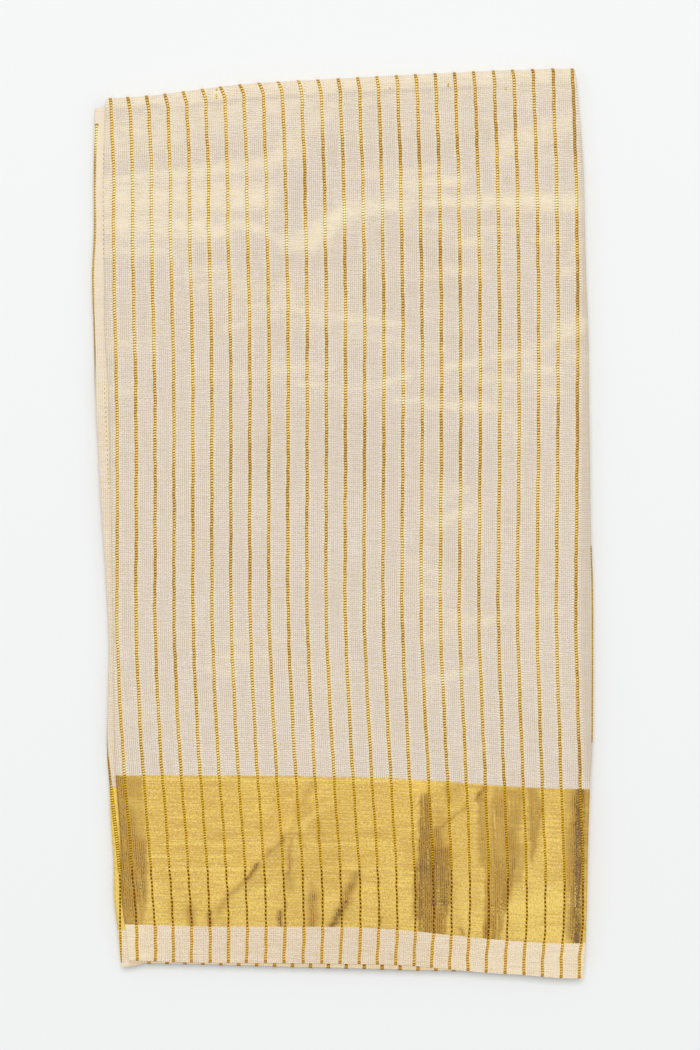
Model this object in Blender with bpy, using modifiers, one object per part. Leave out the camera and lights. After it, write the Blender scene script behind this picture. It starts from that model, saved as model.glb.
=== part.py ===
"""A dhoti: one long unstitched cotton cloth with lengthwise zari stripes and a zari band near its
end, folded flat and pressed.

Run with blender --background --python part.py. Metres, +Z up. The cloth lies on z = 0, centred on
the origin, with its woven end towards -Y and its last fold towards +Y. Sizes below are in
millimetres.
"""

import math

import bmesh
import bpy
import numpy as np

MM = 0.001

# Layers
WALL = 1.0  # one stretch of cloth with the air pressed into it
GAP = 0.3  # parting between neighbouring pieces
STACK_HEIGHT = 6.0  # the hidden layers
LEAVES = 5  # hidden layers that can be told apart at the edges
LOWER_LEVEL = STACK_HEIGHT + GAP + WALL
INNER_LEVEL = LOWER_LEVEL + GAP + WALL
UPPER_LEVEL = INNER_LEVEL + GAP + WALL

# Folds
SIDE_TURN = 1.6  # how far in from its edge a side fold starts to turn down
SIDE_DROP = 2.2  # how far it turns down
TURN_STEPS = 3
LAST_FOLD_REACH = 6.0  # the last fold bellies out this far past the stack
LAST_FOLD_MIDDLE = 5.2  # height of its furthest point
LAST_FOLD_END = math.radians(-60)  # where it tucks back under
LAST_FOLD_STEPS = 6
LOWER_HEAD_INSET = 6.3  # the layers inside the last fold stop this far short of it
INNER_SIDE_INSET = 1.6
LOWER_RIGHT_INSET = 1.0

# The hidden layers' edges
STACK_HEAD_INSET = LOWER_HEAD_INSET + 0.4
STACK_FOOT_INSET = 3.0
STACK_CORNER = 5.0
LEAF_NOSE = 0.55  # how far each leaf's rounded edge stands proud of the notch between leaves
LEAF_SHOULDER = 0.3  # share of a leaf's thickness in which it rounds out
LEAF_WANDER = 0.3  # how far a leaf's edge strays from its outline
WANDER_ACROSS = 24.0
WANDER_ALONG = 31.0
TOP_LEAF_INSET = 1.9  # clears the turned edge of the cloth above it
FOOT_Y, HEAD_Y = -290.0, 285.0  # near the stack's two ends
FOOT_PLACES = np.linspace(-128, 145, 9)
SIDE_PLACES = np.linspace(-272, 268, 19)

# Relief
SIDE_CALM = 14.0  # creases die out this close to a side fold
SWELL_HEIGHT = 0.25
SWELL_ACROSS = 70.0
SWELL_ALONG = 95.0
INNER_RELIEF = 0.4  # share of the upper cloth's relief that the layer under it keeps
LOWER_RELIEF = 0.15


def table(columns, *rows):
    """Rows of millimetres under named columns."""
    return np.array(list(rows), dtype=[(name, float) for name in columns.split()])


# The side folds, from the woven end up to the last fold. They wander, as pressed folds do.
SIDES = table(
    "y upper_left upper_right lower_left",
    (-300, -140.0, 159.4, -145.2),
    (-267, -143.4, 161.2, -148.9),
    (-250, -145.6, 161.7, -151.0),
    (-225, -146.2, 162.2, -151.4),
    (-195, -147.6, 162.9, -153.2),
    (-172, -149.4, 163.8, -154.2),
    (-150, -150.3, 165.0, -155.4),
    (-120, -150.7, 165.4, -155.1),
    (-75, -151.4, 165.5, -154.5),
    (-45, -151.8, 165.4, -155.9),
    (-5, -152.4, 164.2, -158.5),
    (45, -153.6, 163.5, -161.4),
    (90, -154.6, 162.9, -163.3),
    (127, -156.9, 162.5, -164.2),
    (163, -157.3, 161.1, -165.4),
    (195, -157.6, 160.2, -164.4),
    (235, -157.7, 159.3, -164.4),
    (275, -156.7, 156.3, -163.8),
    (300, -156.4, 153.9, -163.4),
)

# The lines that cross the cloth, from left to right. They run slightly downhill and bow a little.
CROSSINGS = table(
    "x last_fold band_head band_foot end inner_end",
    (-165, 280.6, -166.2, -264.3, -288.2, -290.0),
    (-150, 281.4, -166.4, -264.6, -288.6, -290.2),
    (-125, 283.2, -166.5, -265.2, -289.4, -290.7),
    (-95, 287.0, -166.7, -266.0, -290.3, -291.3),
    (-60, 291.0, -166.8, -266.3, -290.5, -292.3),
    (-30, 292.8, -167.0, -266.3, -290.8, -293.1),
    (0, 294.4, -167.3, -266.5, -291.1, -293.9),
    (25, 295.8, -168.1, -267.6, -291.5, -294.6),
    (45, 296.8, -169.1, -268.9, -292.4, -295.1),
    (70, 298.0, -170.6, -271.8, -294.7, -295.6),
    (95, 299.2, -172.5, -274.2, -297.0, -296.3),
    (120, 300.1, -174.1, -276.2, -298.5, -296.9),
    (140, 300.7, -175.2, -277.2, -300.3, -297.4),
    (155, 300.5, -175.5, -277.3, -300.8, -297.8),
    (166, 299.6, -175.6, -277.0, -300.2, -298.0),
)

# The same lines on the lower fold, which lies a little askew under the upper one.
LOWER_CROSSINGS = table(
    "x band_head band_foot end",
    (-166, -174.2, -268.7, -292.4),
    (-136, -174.6, -269.0, -292.4),
    (-124, -174.7, -269.1, -288.4),
    (-112, -174.8, -269.2, -288.4),
    (-40, -175.3, -269.8, -289.0),
    (166, -177.0, -271.5, -291.0),
)

# Pressed creases: straight strokes, each a soft ridge.
CREASES = table(
    "x0 y0 x1 y1 half_width height",
    (-107, 187, -71, 197, 9, 0.45),
    (-71, 197, -38, 184, 9, 0.45),
    (-38, 184, 18, 210, 9, 0.60),
    (18, 210, 65, 220, 9, 0.60),
    (65, 220, 150, 211, 9, 0.50),
    (-74, 134, 25, 131, 9, 0.40),
    (-87, 91, -8, 100, 9, 0.40),
    (32, 81, 101, 77, 9, 0.45),
    (45, -67, 117, -64, 9, 0.35),
    (-95, -162, 60, -150, 10, 0.30),
    (-23, -186, -80, -254, 8, 0.60),
    (50, -180, 50, -268, 9, 0.75),
    (112, -178, 98, -272, 10, 0.75),
    (5, -250, -20, -262, 8, 0.45),
)

# The hidden layers' leaves, from the bottom: how far each stops short of the outline on each side,
# and where in its wandering it starts.
LEAF_EDGES = table(
    "left right head foot wander",
    (0.9, 0.6, 1.2, 1.6, 0.2),
    (0.1, 1.4, 0.4, 0.3, 1.7),
    (1.3, 0.2, 1.0, 2.2, 2.9),
    (0.3, 1.0, 0.2, 0.8, 4.4),
    (TOP_LEAF_INSET, TOP_LEAF_INSET, TOP_LEAF_INSET, 1.4, 5.6),
)

# Colours (linear), roughness, metallic
CREAM = (0.80, 0.71, 0.60)
WARM_CREAM = (0.83, 0.72, 0.56)
ZARI = (0.67, 0.42, 0.09)
FINISHES = {
    "cream_cotton": (CREAM, 0.85, 0.0),
    "warm_cotton": (WARM_CREAM, 0.85, 0.0),
    "zari_gold": (ZARI, 0.42, 0.55),
}


def read(rows, key, name, at):
    """A column's value on a smooth curve through its rows."""
    places, values = rows[key], rows[name]
    at = float(np.clip(at, places[0], places[-1]))
    i = int(np.clip(np.searchsorted(places, at) - 1, 0, len(places) - 2))
    slopes = np.gradient(values, places)
    step = places[i + 1] - places[i]
    t = (at - places[i]) / step
    start = (1 + 2 * t) * (1 - t) ** 2 * values[i] + t * (1 - t) ** 2 * step * slopes[i]
    end = t * t * (3 - 2 * t) * values[i + 1] + t * t * (t - 1) * step * slopes[i + 1]
    return float(start + end)


def side(name, y):
    return read(SIDES, "y", name, y)


def crossing(name, x):
    return read(CROSSINGS, "x", name, x)


def ease(t):
    t = min(max(t, 0.0), 1.0)
    return t * t * (3 - 2 * t)


def relief(x, y):
    """Height of the creases and the gentle swell of the upper cloth over its level."""
    total = 0.0
    for crease in CREASES:
        run = np.array((crease["x1"] - crease["x0"], crease["y1"] - crease["y0"]))
        from_start = np.array((x - crease["x0"], y - crease["y0"]))
        along = np.clip(from_start @ run / (run @ run), 0.0, 1.0)
        away = np.linalg.norm(from_start - along * run)
        ridge = crease["height"] * math.exp(-((away / crease["half_width"]) ** 2))
        total += ridge**4
    swell = 0.5 + 0.5 * math.sin(x / SWELL_ACROSS + 0.8) * math.cos(y / SWELL_ALONG - 0.4)
    from_side = min(x - side("upper_left", y), side("upper_right", y) - x)
    return ease(from_side / SIDE_CALM) * (total**0.25 + SWELL_HEIGHT * swell)


def side_stations(columns):
    """Across a sheet: share of its width, inset from the nearer edge, and drop. The first and last
    few make its turned edges."""
    turn = [k * math.pi / 2 / TURN_STEPS for k in range(TURN_STEPS)]
    rim = [(SIDE_TURN * (1 - math.cos(a)), SIDE_DROP * (1 - math.sin(a))) for a in turn]
    flat = [k / columns for k in range(columns + 1)]
    return (
        [(0.0, inset, drop) for inset, drop in rim]
        + [(t, SIDE_TURN * (1 - 2 * t), 0.0) for t in flat]
        + [(1.0, -inset, drop) for inset, drop in reversed(rim)]
    )


def flat_stations(columns):
    return [(k / columns, 0.0, 0.0) for k in range(columns + 1)]


def head_stations(rows, turn=None):
    """Up a sheet: share of its length, and how far it has gone round the fold at its head, as an
    angle that starts at 90 degrees. None where it is flat."""
    flat = [(k / rows, None) for k in range(rows + 1)]
    if turn is None:
        return flat
    last_angle, steps = turn
    sweep = math.pi / 2 - last_angle
    return flat + [(1.0, math.pi / 2 - sweep * (k + 1) / steps) for k in range(steps)]


def place(edges, ends, level, relief_share, head_turn, across, up):
    """One point of a sheet. edges gives its left and right at a y, ends gives its foot and head at
    an x, and head_turn is the reach and the fall of the fold at its head."""
    share, inset, drop = across
    along, angle = up
    reach, fall = head_turn
    left, right = edges(0.0)
    foot, head = ends(left + share * (right - left))
    y = foot + along * (head - reach - foot)
    left, right = edges(y)
    x = left + share * (right - left) + inset
    foot, head = ends(x)
    y = foot + along * (head - reach - foot)
    height = relief_share * relief(x, y)
    if angle is None:
        return x, y, level + height - drop
    normal = np.array((math.cos(angle) / reach, math.sin(angle) / fall))
    normal /= np.linalg.norm(normal)
    y += reach * math.cos(angle) - drop * normal[0]
    z = level - fall + fall * math.sin(angle) - drop * normal[1]
    return x, y, z + height * max(math.sin(angle), 0.0)


def material(name):
    colour, roughness, metallic = FINISHES[name]
    made = bpy.data.materials.get(name) or bpy.data.materials.new(name)
    made.use_nodes = True
    shader = made.node_tree.nodes["Principled BSDF"]
    shader.inputs["Base Color"].default_value = (*colour, 1.0)
    shader.inputs["Roughness"].default_value = roughness
    shader.inputs["Metallic"].default_value = metallic
    return made


def finished(name, mesh_maker, finish):
    """An object in the cloth's collection, from a bmesh."""
    mesh = bpy.data.meshes.new(name)
    mesh_maker.to_mesh(mesh)
    mesh_maker.free()
    mesh.shade_smooth()
    piece = bpy.data.objects.new(name, mesh)
    piece.data.materials.append(material(finish))
    bpy.data.collections["folded_dhoti_cloth"].objects.link(piece)
    return piece


def sheet(name, finish, edges, ends, level, relief_share, across, up, head_turn=(0.0, 1.0)):
    """A stretch of cloth: a grid laid between its edges and its ends, then given its wall."""
    maker = bmesh.new()
    bmesh.ops.create_grid(maker, x_segments=len(across) - 1, y_segments=len(up) - 1, size=0.5)
    for vertex in maker.verts:
        column = across[round((vertex.co.x + 0.5) * (len(across) - 1))]
        row = up[round((vertex.co.y + 0.5) * (len(up) - 1))]
        point = place(edges, ends, level, relief_share, head_turn, column, row)
        vertex.co = [MM * value for value in point]
    piece = finished(name, maker, finish)
    wall = piece.modifiers.new("wall", "SOLIDIFY")
    wall.thickness = WALL * MM
    wall.offset = -1.0
    return piece


def upper_edges(y):
    return side("upper_left", y), side("upper_right", y)


def inner_edges(y):
    return side("upper_left", y) + INNER_SIDE_INSET, side("upper_right", y) - INNER_SIDE_INSET


def lower_edges(y):
    return side("lower_left", y), side("upper_right", y) - LOWER_RIGHT_INSET


def lower_crossing(name, x):
    return read(LOWER_CROSSINGS, "x", name, x)


def upper_cloth():
    """The stretch on top: its ground, which goes round the last fold, its band and its heading."""
    half = GAP / 2
    sheet(
        "upper_body",
        "cream_cotton",
        upper_edges,
        lambda x: (crossing("band_head", x) + half, crossing("last_fold", x)),
        UPPER_LEVEL,
        1.0,
        side_stations(22),
        head_stations(22, (LAST_FOLD_END, LAST_FOLD_STEPS)),
        (LAST_FOLD_REACH, UPPER_LEVEL - LAST_FOLD_MIDDLE),
    )
    sheet(
        "upper_zari_band",
        "zari_gold",
        upper_edges,
        lambda x: (crossing("band_foot", x) + half, crossing("band_head", x) - half),
        UPPER_LEVEL,
        1.0,
        side_stations(40),
        head_stations(10),
    )
    sheet(
        "upper_end_strip",
        "warm_cotton",
        upper_edges,
        lambda x: (crossing("end", x), crossing("band_foot", x) - half),
        UPPER_LEVEL,
        1.0,
        side_stations(26),
        head_stations(2),
    )


def inner_cloth():
    """The stretch under it, nested inside the last fold."""
    nest = WALL + GAP
    sheet(
        "inner_panel",
        "warm_cotton",
        inner_edges,
        lambda x: (crossing("inner_end", x), crossing("last_fold", x) - nest),
        INNER_LEVEL,
        INNER_RELIEF,
        flat_stations(14),
        head_stations(18, (LAST_FOLD_END, LAST_FOLD_STEPS)),
        (LAST_FOLD_REACH - nest, INNER_LEVEL - LAST_FOLD_MIDDLE),
    )


def lower_cloth():
    """The next fold down, which shows along the left."""
    half = GAP / 2
    across = side_stations(6)
    sheet(
        "lower_body",
        "cream_cotton",
        lower_edges,
        lambda x: (
            lower_crossing("band_head", x) + half,
            crossing("last_fold", x) - LOWER_HEAD_INSET,
        ),
        LOWER_LEVEL,
        LOWER_RELIEF,
        across,
        head_stations(22, (0.0, TURN_STEPS)),
        (SIDE_TURN, SIDE_DROP),
    )
    sheet(
        "lower_zari_band",
        "zari_gold",
        lower_edges,
        lambda x: (
            lower_crossing("band_foot", x) + half,
            lower_crossing("band_head", x) - half,
        ),
        LOWER_LEVEL,
        LOWER_RELIEF,
        across,
        head_stations(6),
    )
    sheet(
        "lower_end_strip",
        "warm_cotton",
        lower_edges,
        lambda x: (lower_crossing("end", x), lower_crossing("band_foot", x) - half),
        LOWER_LEVEL,
        LOWER_RELIEF,
        side_stations(14),
        head_stations(2),
    )


def stack_line(which, at, inset):
    """One side of the hidden layers' outline: its x at a y, or its y at an x."""
    if which == "left":
        return side("lower_left", at) + inset
    if which == "right":
        return side("upper_right", at) - LOWER_RIGHT_INSET - inset
    if which == "head":
        return crossing("last_fold", at) - STACK_HEAD_INSET - inset
    return crossing("end", at) + STACK_FOOT_INSET + inset


def rounded_corner(x, y, start):
    """A quarter turn anticlockwise from an angle, inside the corner where two sides meet."""
    inward_x = STACK_CORNER if start in (90, 180) else -STACK_CORNER
    inward_y = STACK_CORNER if start in (180, 270) else -STACK_CORNER
    angles = [math.radians(start + 90 * k / TURN_STEPS) for k in range(TURN_STEPS + 1)]
    return [
        (x + inward_x + STACK_CORNER * math.cos(a), y + inward_y + STACK_CORNER * math.sin(a))
        for a in angles
    ]


def outline(leaf, fallen):
    """The hidden layers' outline at one height, anticlockwise from its foot's left corner. Each
    side is drawn in by its leaf's inset and by how far the rounded edge has fallen back there."""

    def line(which, at, phase=None):
        inset = leaf[which] + fallen
        if phase is not None:
            inset += LEAF_WANDER * math.sin(phase + leaf["wander"])
        return stack_line(which, at, inset)

    corners = {}
    for across in ("left", "right"):
        for along, near_y in (("foot", FOOT_Y), ("head", HEAD_Y)):
            y = line(along, line(across, near_y))
            corners[across, along] = (line(across, y), y)
    points = rounded_corner(*corners["left", "foot"], 180)
    points += [(x, line("foot", x, x / WANDER_ACROSS)) for x in FOOT_PLACES]
    points += rounded_corner(*corners["right", "foot"], 270)
    points += [(line("right", y, y / WANDER_ALONG), y) for y in SIDE_PLACES]
    points += rounded_corner(*corners["right", "head"], 0)
    points += [(x, line("head", x, x / WANDER_ACROSS)) for x in reversed(FOOT_PLACES)]
    points += rounded_corner(*corners["left", "head"], 90)
    points += [(line("left", y, y / WANDER_ALONG), y) for y in reversed(SIDE_PLACES)]
    return points


def leaf_rings():
    """Height and outline of each ring up the leaves' rounded edges. Neighbours share the ring in
    the notch between them."""
    height = STACK_HEIGHT / LEAVES
    yield 0.0, outline(LEAF_EDGES[0], LEAF_NOSE)
    for number, leaf in enumerate(LEAF_EDGES):
        above = LEAF_EDGES[min(number + 1, LEAVES - 1)]
        notch = {name: (leaf[name] + above[name]) / 2 for name in leaf.dtype.names}
        yield height * (number + LEAF_SHOULDER), outline(leaf, 0.0)
        yield height * (number + 1 - LEAF_SHOULDER), outline(leaf, 0.0)
        yield height * (number + 1), outline(notch, LEAF_NOSE)


def hidden_layers():
    """The rest of the folded length as one solid: rings bridged up the leaves' edges, with a flat
    underside and a flat top."""
    maker = bmesh.new()
    loops = []
    for z, points in leaf_rings():
        ring = [maker.verts.new((MM * x, MM * y, MM * z)) for x, y in points]
        loops.append([maker.edges.new(pair) for pair in zip(ring, ring[1:] + ring[:1])])
    for below, above in zip(loops, loops[1:]):
        bmesh.ops.bridge_loops(maker, edges=below + above)
    for rim in (loops[0], loops[-1]):
        bmesh.ops.contextual_create(maker, geom=rim)
    bmesh.ops.recalc_face_normals(maker, faces=maker.faces[:])
    finished("folded_layers", maker, "cream_cotton")


for old in list(bpy.data.objects):
    bpy.data.objects.remove(old, do_unlink=True)
cloth = bpy.data.collections.new("folded_dhoti_cloth")
bpy.context.scene.collection.children.link(cloth)
upper_cloth()
inner_cloth()
lower_cloth()
hidden_layers()
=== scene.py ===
"""The looks of a folded dhoti cloth: fine cotton with lengthwise zari stripes and a zari band."""

import math

import bmesh
import bpy
import numpy as np
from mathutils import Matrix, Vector


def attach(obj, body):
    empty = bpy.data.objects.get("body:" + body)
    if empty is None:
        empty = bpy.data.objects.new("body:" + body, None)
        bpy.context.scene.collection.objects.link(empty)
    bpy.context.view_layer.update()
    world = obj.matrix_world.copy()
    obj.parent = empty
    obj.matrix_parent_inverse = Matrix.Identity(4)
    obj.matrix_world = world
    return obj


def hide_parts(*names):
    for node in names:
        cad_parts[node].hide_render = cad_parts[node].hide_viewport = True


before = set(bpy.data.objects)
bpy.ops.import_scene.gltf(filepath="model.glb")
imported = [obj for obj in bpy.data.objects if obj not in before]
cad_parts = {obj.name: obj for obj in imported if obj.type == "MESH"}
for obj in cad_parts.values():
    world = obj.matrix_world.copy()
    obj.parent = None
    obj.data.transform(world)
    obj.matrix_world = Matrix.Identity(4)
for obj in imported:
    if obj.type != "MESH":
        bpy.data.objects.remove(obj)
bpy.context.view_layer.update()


# ----------------------------------------
# The folded length under the top fold. Most of the dhoti lies here, folded in leaves and pressed
# flat, so only the leaves' rounded edges show, and the underside that rests on the table. It is
# the same striped cotton throughout. Sizes are in millimetres unless their names say otherwise.
# ----------------------------------------

MM = 0.001
STACK_HEIGHT = 6.0
LEAVES = 9
LEAF_NOSE = 0.42  # how far a leaf's round edge stands proud of the parting beside it
TOP_LEAF_NOSE = 0.3
LEAF_ROUND = ((0.18, 0.12), (0.5, 0.0), (0.82, 0.12))  # share of its height, how far it falls back
LEAF_WANDER = 0.35
STACK_HEAD_INSET = 6.7
STACK_FOOT_INSET = 3.0
STACK_SIDE_INSET = 0.5
LOWER_RIGHT_INSET = 1.0
CORNER = 5.0
STRIPE_PITCH = 12.7
BAR_PITCH = 1.78  # the weft binds down a stripe's gold cord this often, which parts it into bars


def table(columns, *rows):
    """Rows of millimetres under named columns."""
    return np.array(list(rows), dtype=[(name, float) for name in columns.split()])


# The side folds, from the woven end up to the last fold. They wander, as pressed folds do.
SIDES = table(
    "y upper_left upper_right lower_left",
    (-300, -140.0, 159.4, -145.2),
    (-267, -143.4, 161.2, -148.9),
    (-250, -145.6, 161.7, -151.0),
    (-225, -146.2, 162.2, -151.4),
    (-195, -147.6, 162.9, -153.2),
    (-172, -149.4, 163.8, -154.2),
    (-150, -150.3, 165.0, -155.4),
    (-120, -150.7, 165.4, -155.1),
    (-75, -151.4, 165.5, -154.5),
    (-45, -151.8, 165.4, -155.9),
    (-5, -152.4, 164.2, -158.5),
    (45, -153.6, 163.5, -161.4),
    (90, -154.6, 162.9, -163.3),
    (127, -156.9, 162.5, -164.2),
    (163, -157.3, 161.1, -165.4),
    (195, -157.6, 160.2, -164.4),
    (235, -157.7, 159.3, -164.4),
    (275, -156.7, 156.3, -163.8),
    (300, -156.4, 153.9, -163.4),
)

# The lines that cross the cloth, from left to right. They run slightly downhill and bow a little.
CROSSINGS = table(
    "x last_fold band_head band_foot end inner_end",
    (-165, 280.6, -166.2, -264.3, -288.2, -290.0),
    (-150, 281.4, -166.4, -264.6, -288.6, -290.2),
    (-125, 283.2, -166.5, -265.2, -289.4, -290.7),
    (-95, 287.0, -166.7, -266.0, -290.3, -291.3),
    (-60, 291.0, -166.8, -266.3, -290.5, -292.3),
    (-30, 292.8, -167.0, -266.3, -290.8, -293.1),
    (0, 294.4, -167.3, -266.5, -291.1, -293.9),
    (25, 295.8, -168.1, -267.6, -291.5, -294.6),
    (45, 296.8, -169.1, -268.9, -292.4, -295.1),
    (70, 298.0, -170.6, -271.8, -294.7, -295.6),
    (95, 299.2, -172.5, -274.2, -297.0, -296.3),
    (120, 300.1, -174.1, -276.2, -298.5, -296.9),
    (140, 300.7, -175.2, -277.2, -300.3, -297.4),
    (155, 300.5, -175.5, -277.3, -300.8, -297.8),
    (166, 299.6, -175.6, -277.0, -300.2, -298.0),
)

# Where each leaf of the stack stops short of the outline, from the bottom leaf up.
LEAF_EDGES = table(
    "left right head foot wander",
    (1.0, 0.5, 1.0, 1.2, 0.2),
    (0.2, 1.2, 0.3, 0.2, 1.1),
    (0.8, 0.3, 0.9, 1.6, 2.3),
    (0.0, 0.9, 0.1, 0.7, 3.0),
    (1.1, 0.1, 0.7, 2.0, 3.9),
    (0.3, 1.3, 0.2, 0.5, 4.6),
    (0.9, 0.6, 1.1, 1.5, 5.2),
    (1.9, 1.9, 1.9, 0.9, 5.9),
    (2.1, 2.0, 2.0, 1.3, 0.8),
)


def read(rows, key, name, at):
    """A column's values on a smooth curve through its rows."""
    places, values = rows[key], rows[name]
    at = np.clip(at, places[0], places[-1])
    i = np.clip(np.searchsorted(places, at) - 1, 0, len(places) - 2)
    slopes = np.gradient(values, places)
    step = places[i + 1] - places[i]
    t = (at - places[i]) / step
    start = (1 + 2 * t) * (1 - t) ** 2 * values[i] + t * (1 - t) ** 2 * step * slopes[i]
    end = t * t * (3 - 2 * t) * values[i + 1] + t * t * (t - 1) * step * slopes[i + 1]
    return start + end


def side(name, y):
    return read(SIDES, "y", name, y)


def crossing(name, x):
    return read(CROSSINGS, "x", name, x)


# The straight runs between the stack's corners, left to right and foot to head, and how many
# points each has. The corners are looked for near its foot and its head.
STACK_OVER = (-132, 149, 72)
STACK_UP = (-277, 270, 138)
NEAR_FOOT, NEAR_HEAD = -290.0, 285.0


def stack_line(which, at, inset):
    """One side of the stack's outline: its x at a y, or its y at an x."""
    if which == "left":
        return side("lower_left", at) + STACK_SIDE_INSET + inset
    if which == "right":
        return side("upper_right", at) - LOWER_RIGHT_INSET - STACK_SIDE_INSET - inset
    if which == "head":
        return crossing("last_fold", at) - STACK_HEAD_INSET - inset
    return crossing("end", at) + STACK_FOOT_INSET + inset


def corner_turn(x, y, start):
    """A quarter turn anticlockwise inside the corner where two sides meet."""
    turn = np.radians(start + np.linspace(0, 90, 7))
    middle_x = x + (CORNER if start in (90, 180) else -CORNER)
    middle_y = y + (CORNER if start in (180, 270) else -CORNER)
    return np.column_stack((middle_x + CORNER * np.cos(turn), middle_y + CORNER * np.sin(turn)))


def leaf_outline(leaf, fallen):
    """A leaf's outline, anticlockwise from its foot's left corner, drawn in by its insets and by
    how far its round edge has fallen back."""

    def line(which, at, straying=True):
        stray = np.sin(at / 31 + leaf["wander"]) + 0.6 * np.sin(at / 11 + 3 * leaf["wander"])
        return stack_line(which, at, leaf[which] + fallen + LEAF_WANDER * stray * straying)

    corners = {}
    for across in ("left", "right"):
        for along, near in (("foot", NEAR_FOOT), ("head", NEAR_HEAD)):
            y = line(along, line(across, near, False), False)
            corners[across, along] = (line(across, y, False), y)
    over, up = np.linspace(*STACK_OVER), np.linspace(*STACK_UP)
    runs = (
        corner_turn(*corners["left", "foot"], 180),
        np.column_stack((over, line("foot", over))),
        corner_turn(*corners["right", "foot"], 270),
        np.column_stack((line("right", up), up)),
        corner_turn(*corners["right", "head"], 0),
        np.column_stack((over, line("head", over)))[::-1],
        corner_turn(*corners["left", "head"], 90),
        np.column_stack((line("left", up), up))[::-1],
    )
    return np.concatenate(runs)


def stack_rings():
    """Height and outline of each ring up the leaves' edges. Neighbours share the parting."""
    thickness = STACK_HEIGHT / LEAVES
    yield 0.0, leaf_outline(LEAF_EDGES[0], LEAF_NOSE)
    for number, leaf in enumerate(LEAF_EDGES):
        above = LEAF_EDGES[min(number + 1, LEAVES - 1)]
        parting = {name: (leaf[name] + above[name]) / 2 for name in leaf.dtype.names}
        for share, fallen in LEAF_ROUND:
            yield thickness * (number + share), leaf_outline(leaf, fallen)
        deep = LEAF_NOSE if number < LEAVES - 1 else TOP_LEAF_NOSE
        yield thickness * (number + 1), leaf_outline(parting, deep)


def maths(operation, swapped=False):
    """A method that puts a Socket's value, and any other, through a maths node."""

    def run(self, *others):
        values = (*others, self) if swapped else (self, *others)
        node = self.finish.node("ShaderNodeMath", {"operation": operation}, dict(enumerate(values)))
        return Socket(self.finish, node.outputs[0])

    return run


class Socket:
    """A node's output that takes part in sums, so that a pattern reads as its formula."""

    def __init__(self, finish, socket):
        self.finish, self.socket = finish, socket

    __add__ = __radd__ = maths("ADD")
    __mul__ = __rmul__ = maths("MULTIPLY")
    __sub__, __rsub__ = maths("SUBTRACT"), maths("SUBTRACT", swapped=True)
    __truediv__ = maths("DIVIDE")
    at_least, at_most = maths("MAXIMUM"), maths("MINIMUM")
    sine, absolute = maths("SINE"), maths("ABSOLUTE")
    fraction, floor = maths("FRACT"), maths("FLOOR")

    def step_up(self, start, end):
        """0 below start, 1 above end, smooth between."""
        settings = {"interpolation_type": "SMOOTHSTEP"}
        sockets = {"Value": self, "From Min": start, "From Max": end}
        node = self.finish.node("ShaderNodeMapRange", settings, sockets)
        return Socket(self.finish, node.outputs[0])

    def kept(self):
        """Held between 0 and 1."""
        return self.at_least(0.0).at_most(1.0)


class Finish:
    """A material, put together node by node."""

    def __init__(self, name, roughness, metallic=0.0, specular=0.5):
        self.material = bpy.data.materials.new(name)
        self.material.use_nodes = True
        self.nodes = self.material.node_tree.nodes
        self.links = self.material.node_tree.links
        self.shader = self.nodes["Principled BSDF"]
        settings = {"Roughness": roughness, "Metallic": metallic, "Specular IOR Level": specular}
        self.fill(self.shader, settings)

    def fill(self, node, sockets):
        for key, value in sockets.items():
            known = {socket.identifier: socket for socket in reversed(node.inputs)}
            socket = node.inputs[key] if isinstance(key, int) else known.get(key) or node.inputs[key]
            if isinstance(value, Socket):
                self.links.new(value.socket, socket)
            else:
                socket.default_value = value

    def node(self, kind, settings, sockets):
        node = self.nodes.new(kind)
        for key, value in settings.items():
            setattr(node, key, value)
        self.fill(node, sockets)
        return node

    def number(self, name):
        node = self.node("ShaderNodeAttribute", {"attribute_name": name}, {})
        return Socket(self, node.outputs["Fac"])

    def threads(self):
        """Millimetres across and along the cloth."""
        uv = self.node("ShaderNodeUVMap", {"uv_map": "threads"}, {})
        parts = self.node("ShaderNodeSeparateXYZ", {}, {0: Socket(self, uv.outputs[0])})
        return Socket(self, parts.outputs[0]) * 1000, Socket(self, parts.outputs[1]) * 1000

    def place(self):
        """Millimetres in the object's own frame."""
        spot = self.node("ShaderNodeTexCoord", {}, {})
        parts = self.node("ShaderNodeSeparateXYZ", {}, {0: Socket(self, spot.outputs["Object"])})
        return [Socket(self, parts.outputs[axis]) * 1000 for axis in range(3)]

    def noise(self, x, y, z=0.0, detail=2.0):
        spot = self.node("ShaderNodeCombineXYZ", {}, {0: x, 1: y, 2: z})
        sockets = {"Vector": Socket(self, spot.outputs[0]), "Scale": 1.0, "Detail": detail}
        return Socket(self, self.node("ShaderNodeTexNoise", {}, sockets).outputs[0])

    def mix(self, share, first, second, blend="MIX"):
        """Two colours mixed, each a Socket or 8-bit sRGB values."""
        first, second = (c if isinstance(c, Socket) else swatch(*c) for c in (first, second))
        sockets = {"Factor_Float": share, "A_Color": first, "B_Color": second}
        node = self.node("ShaderNodeMix", {"data_type": "RGBA", "blend_type": blend}, sockets)
        return Socket(self, next(s for s in node.outputs if s.identifier == "Result_Color"))

    def bump(self, height, strength, distance):
        sockets = {"Height": height, "Strength": strength, "Distance": distance * MM}
        node = self.node("ShaderNodeBump", {}, sockets)
        self.fill(self.shader, {"Normal": Socket(self, node.outputs[0])})


def swatch(red, green, blue):
    """Blender's colour for 8-bit sRGB values, with full alpha."""
    parts = [value / 255 for value in (red, green, blue)]
    return (*(p / 12.92 if p <= 0.04045 else ((p + 0.055) / 1.055) ** 2.4 for p in parts), 1.0)


STRIPE_GOLD = (196, 150, 58)
GAP_GOLD = (150, 108, 40)
EDGE_CREAM = (226, 211, 188)
EDGE_SHADE = (196, 178, 152)


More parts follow.
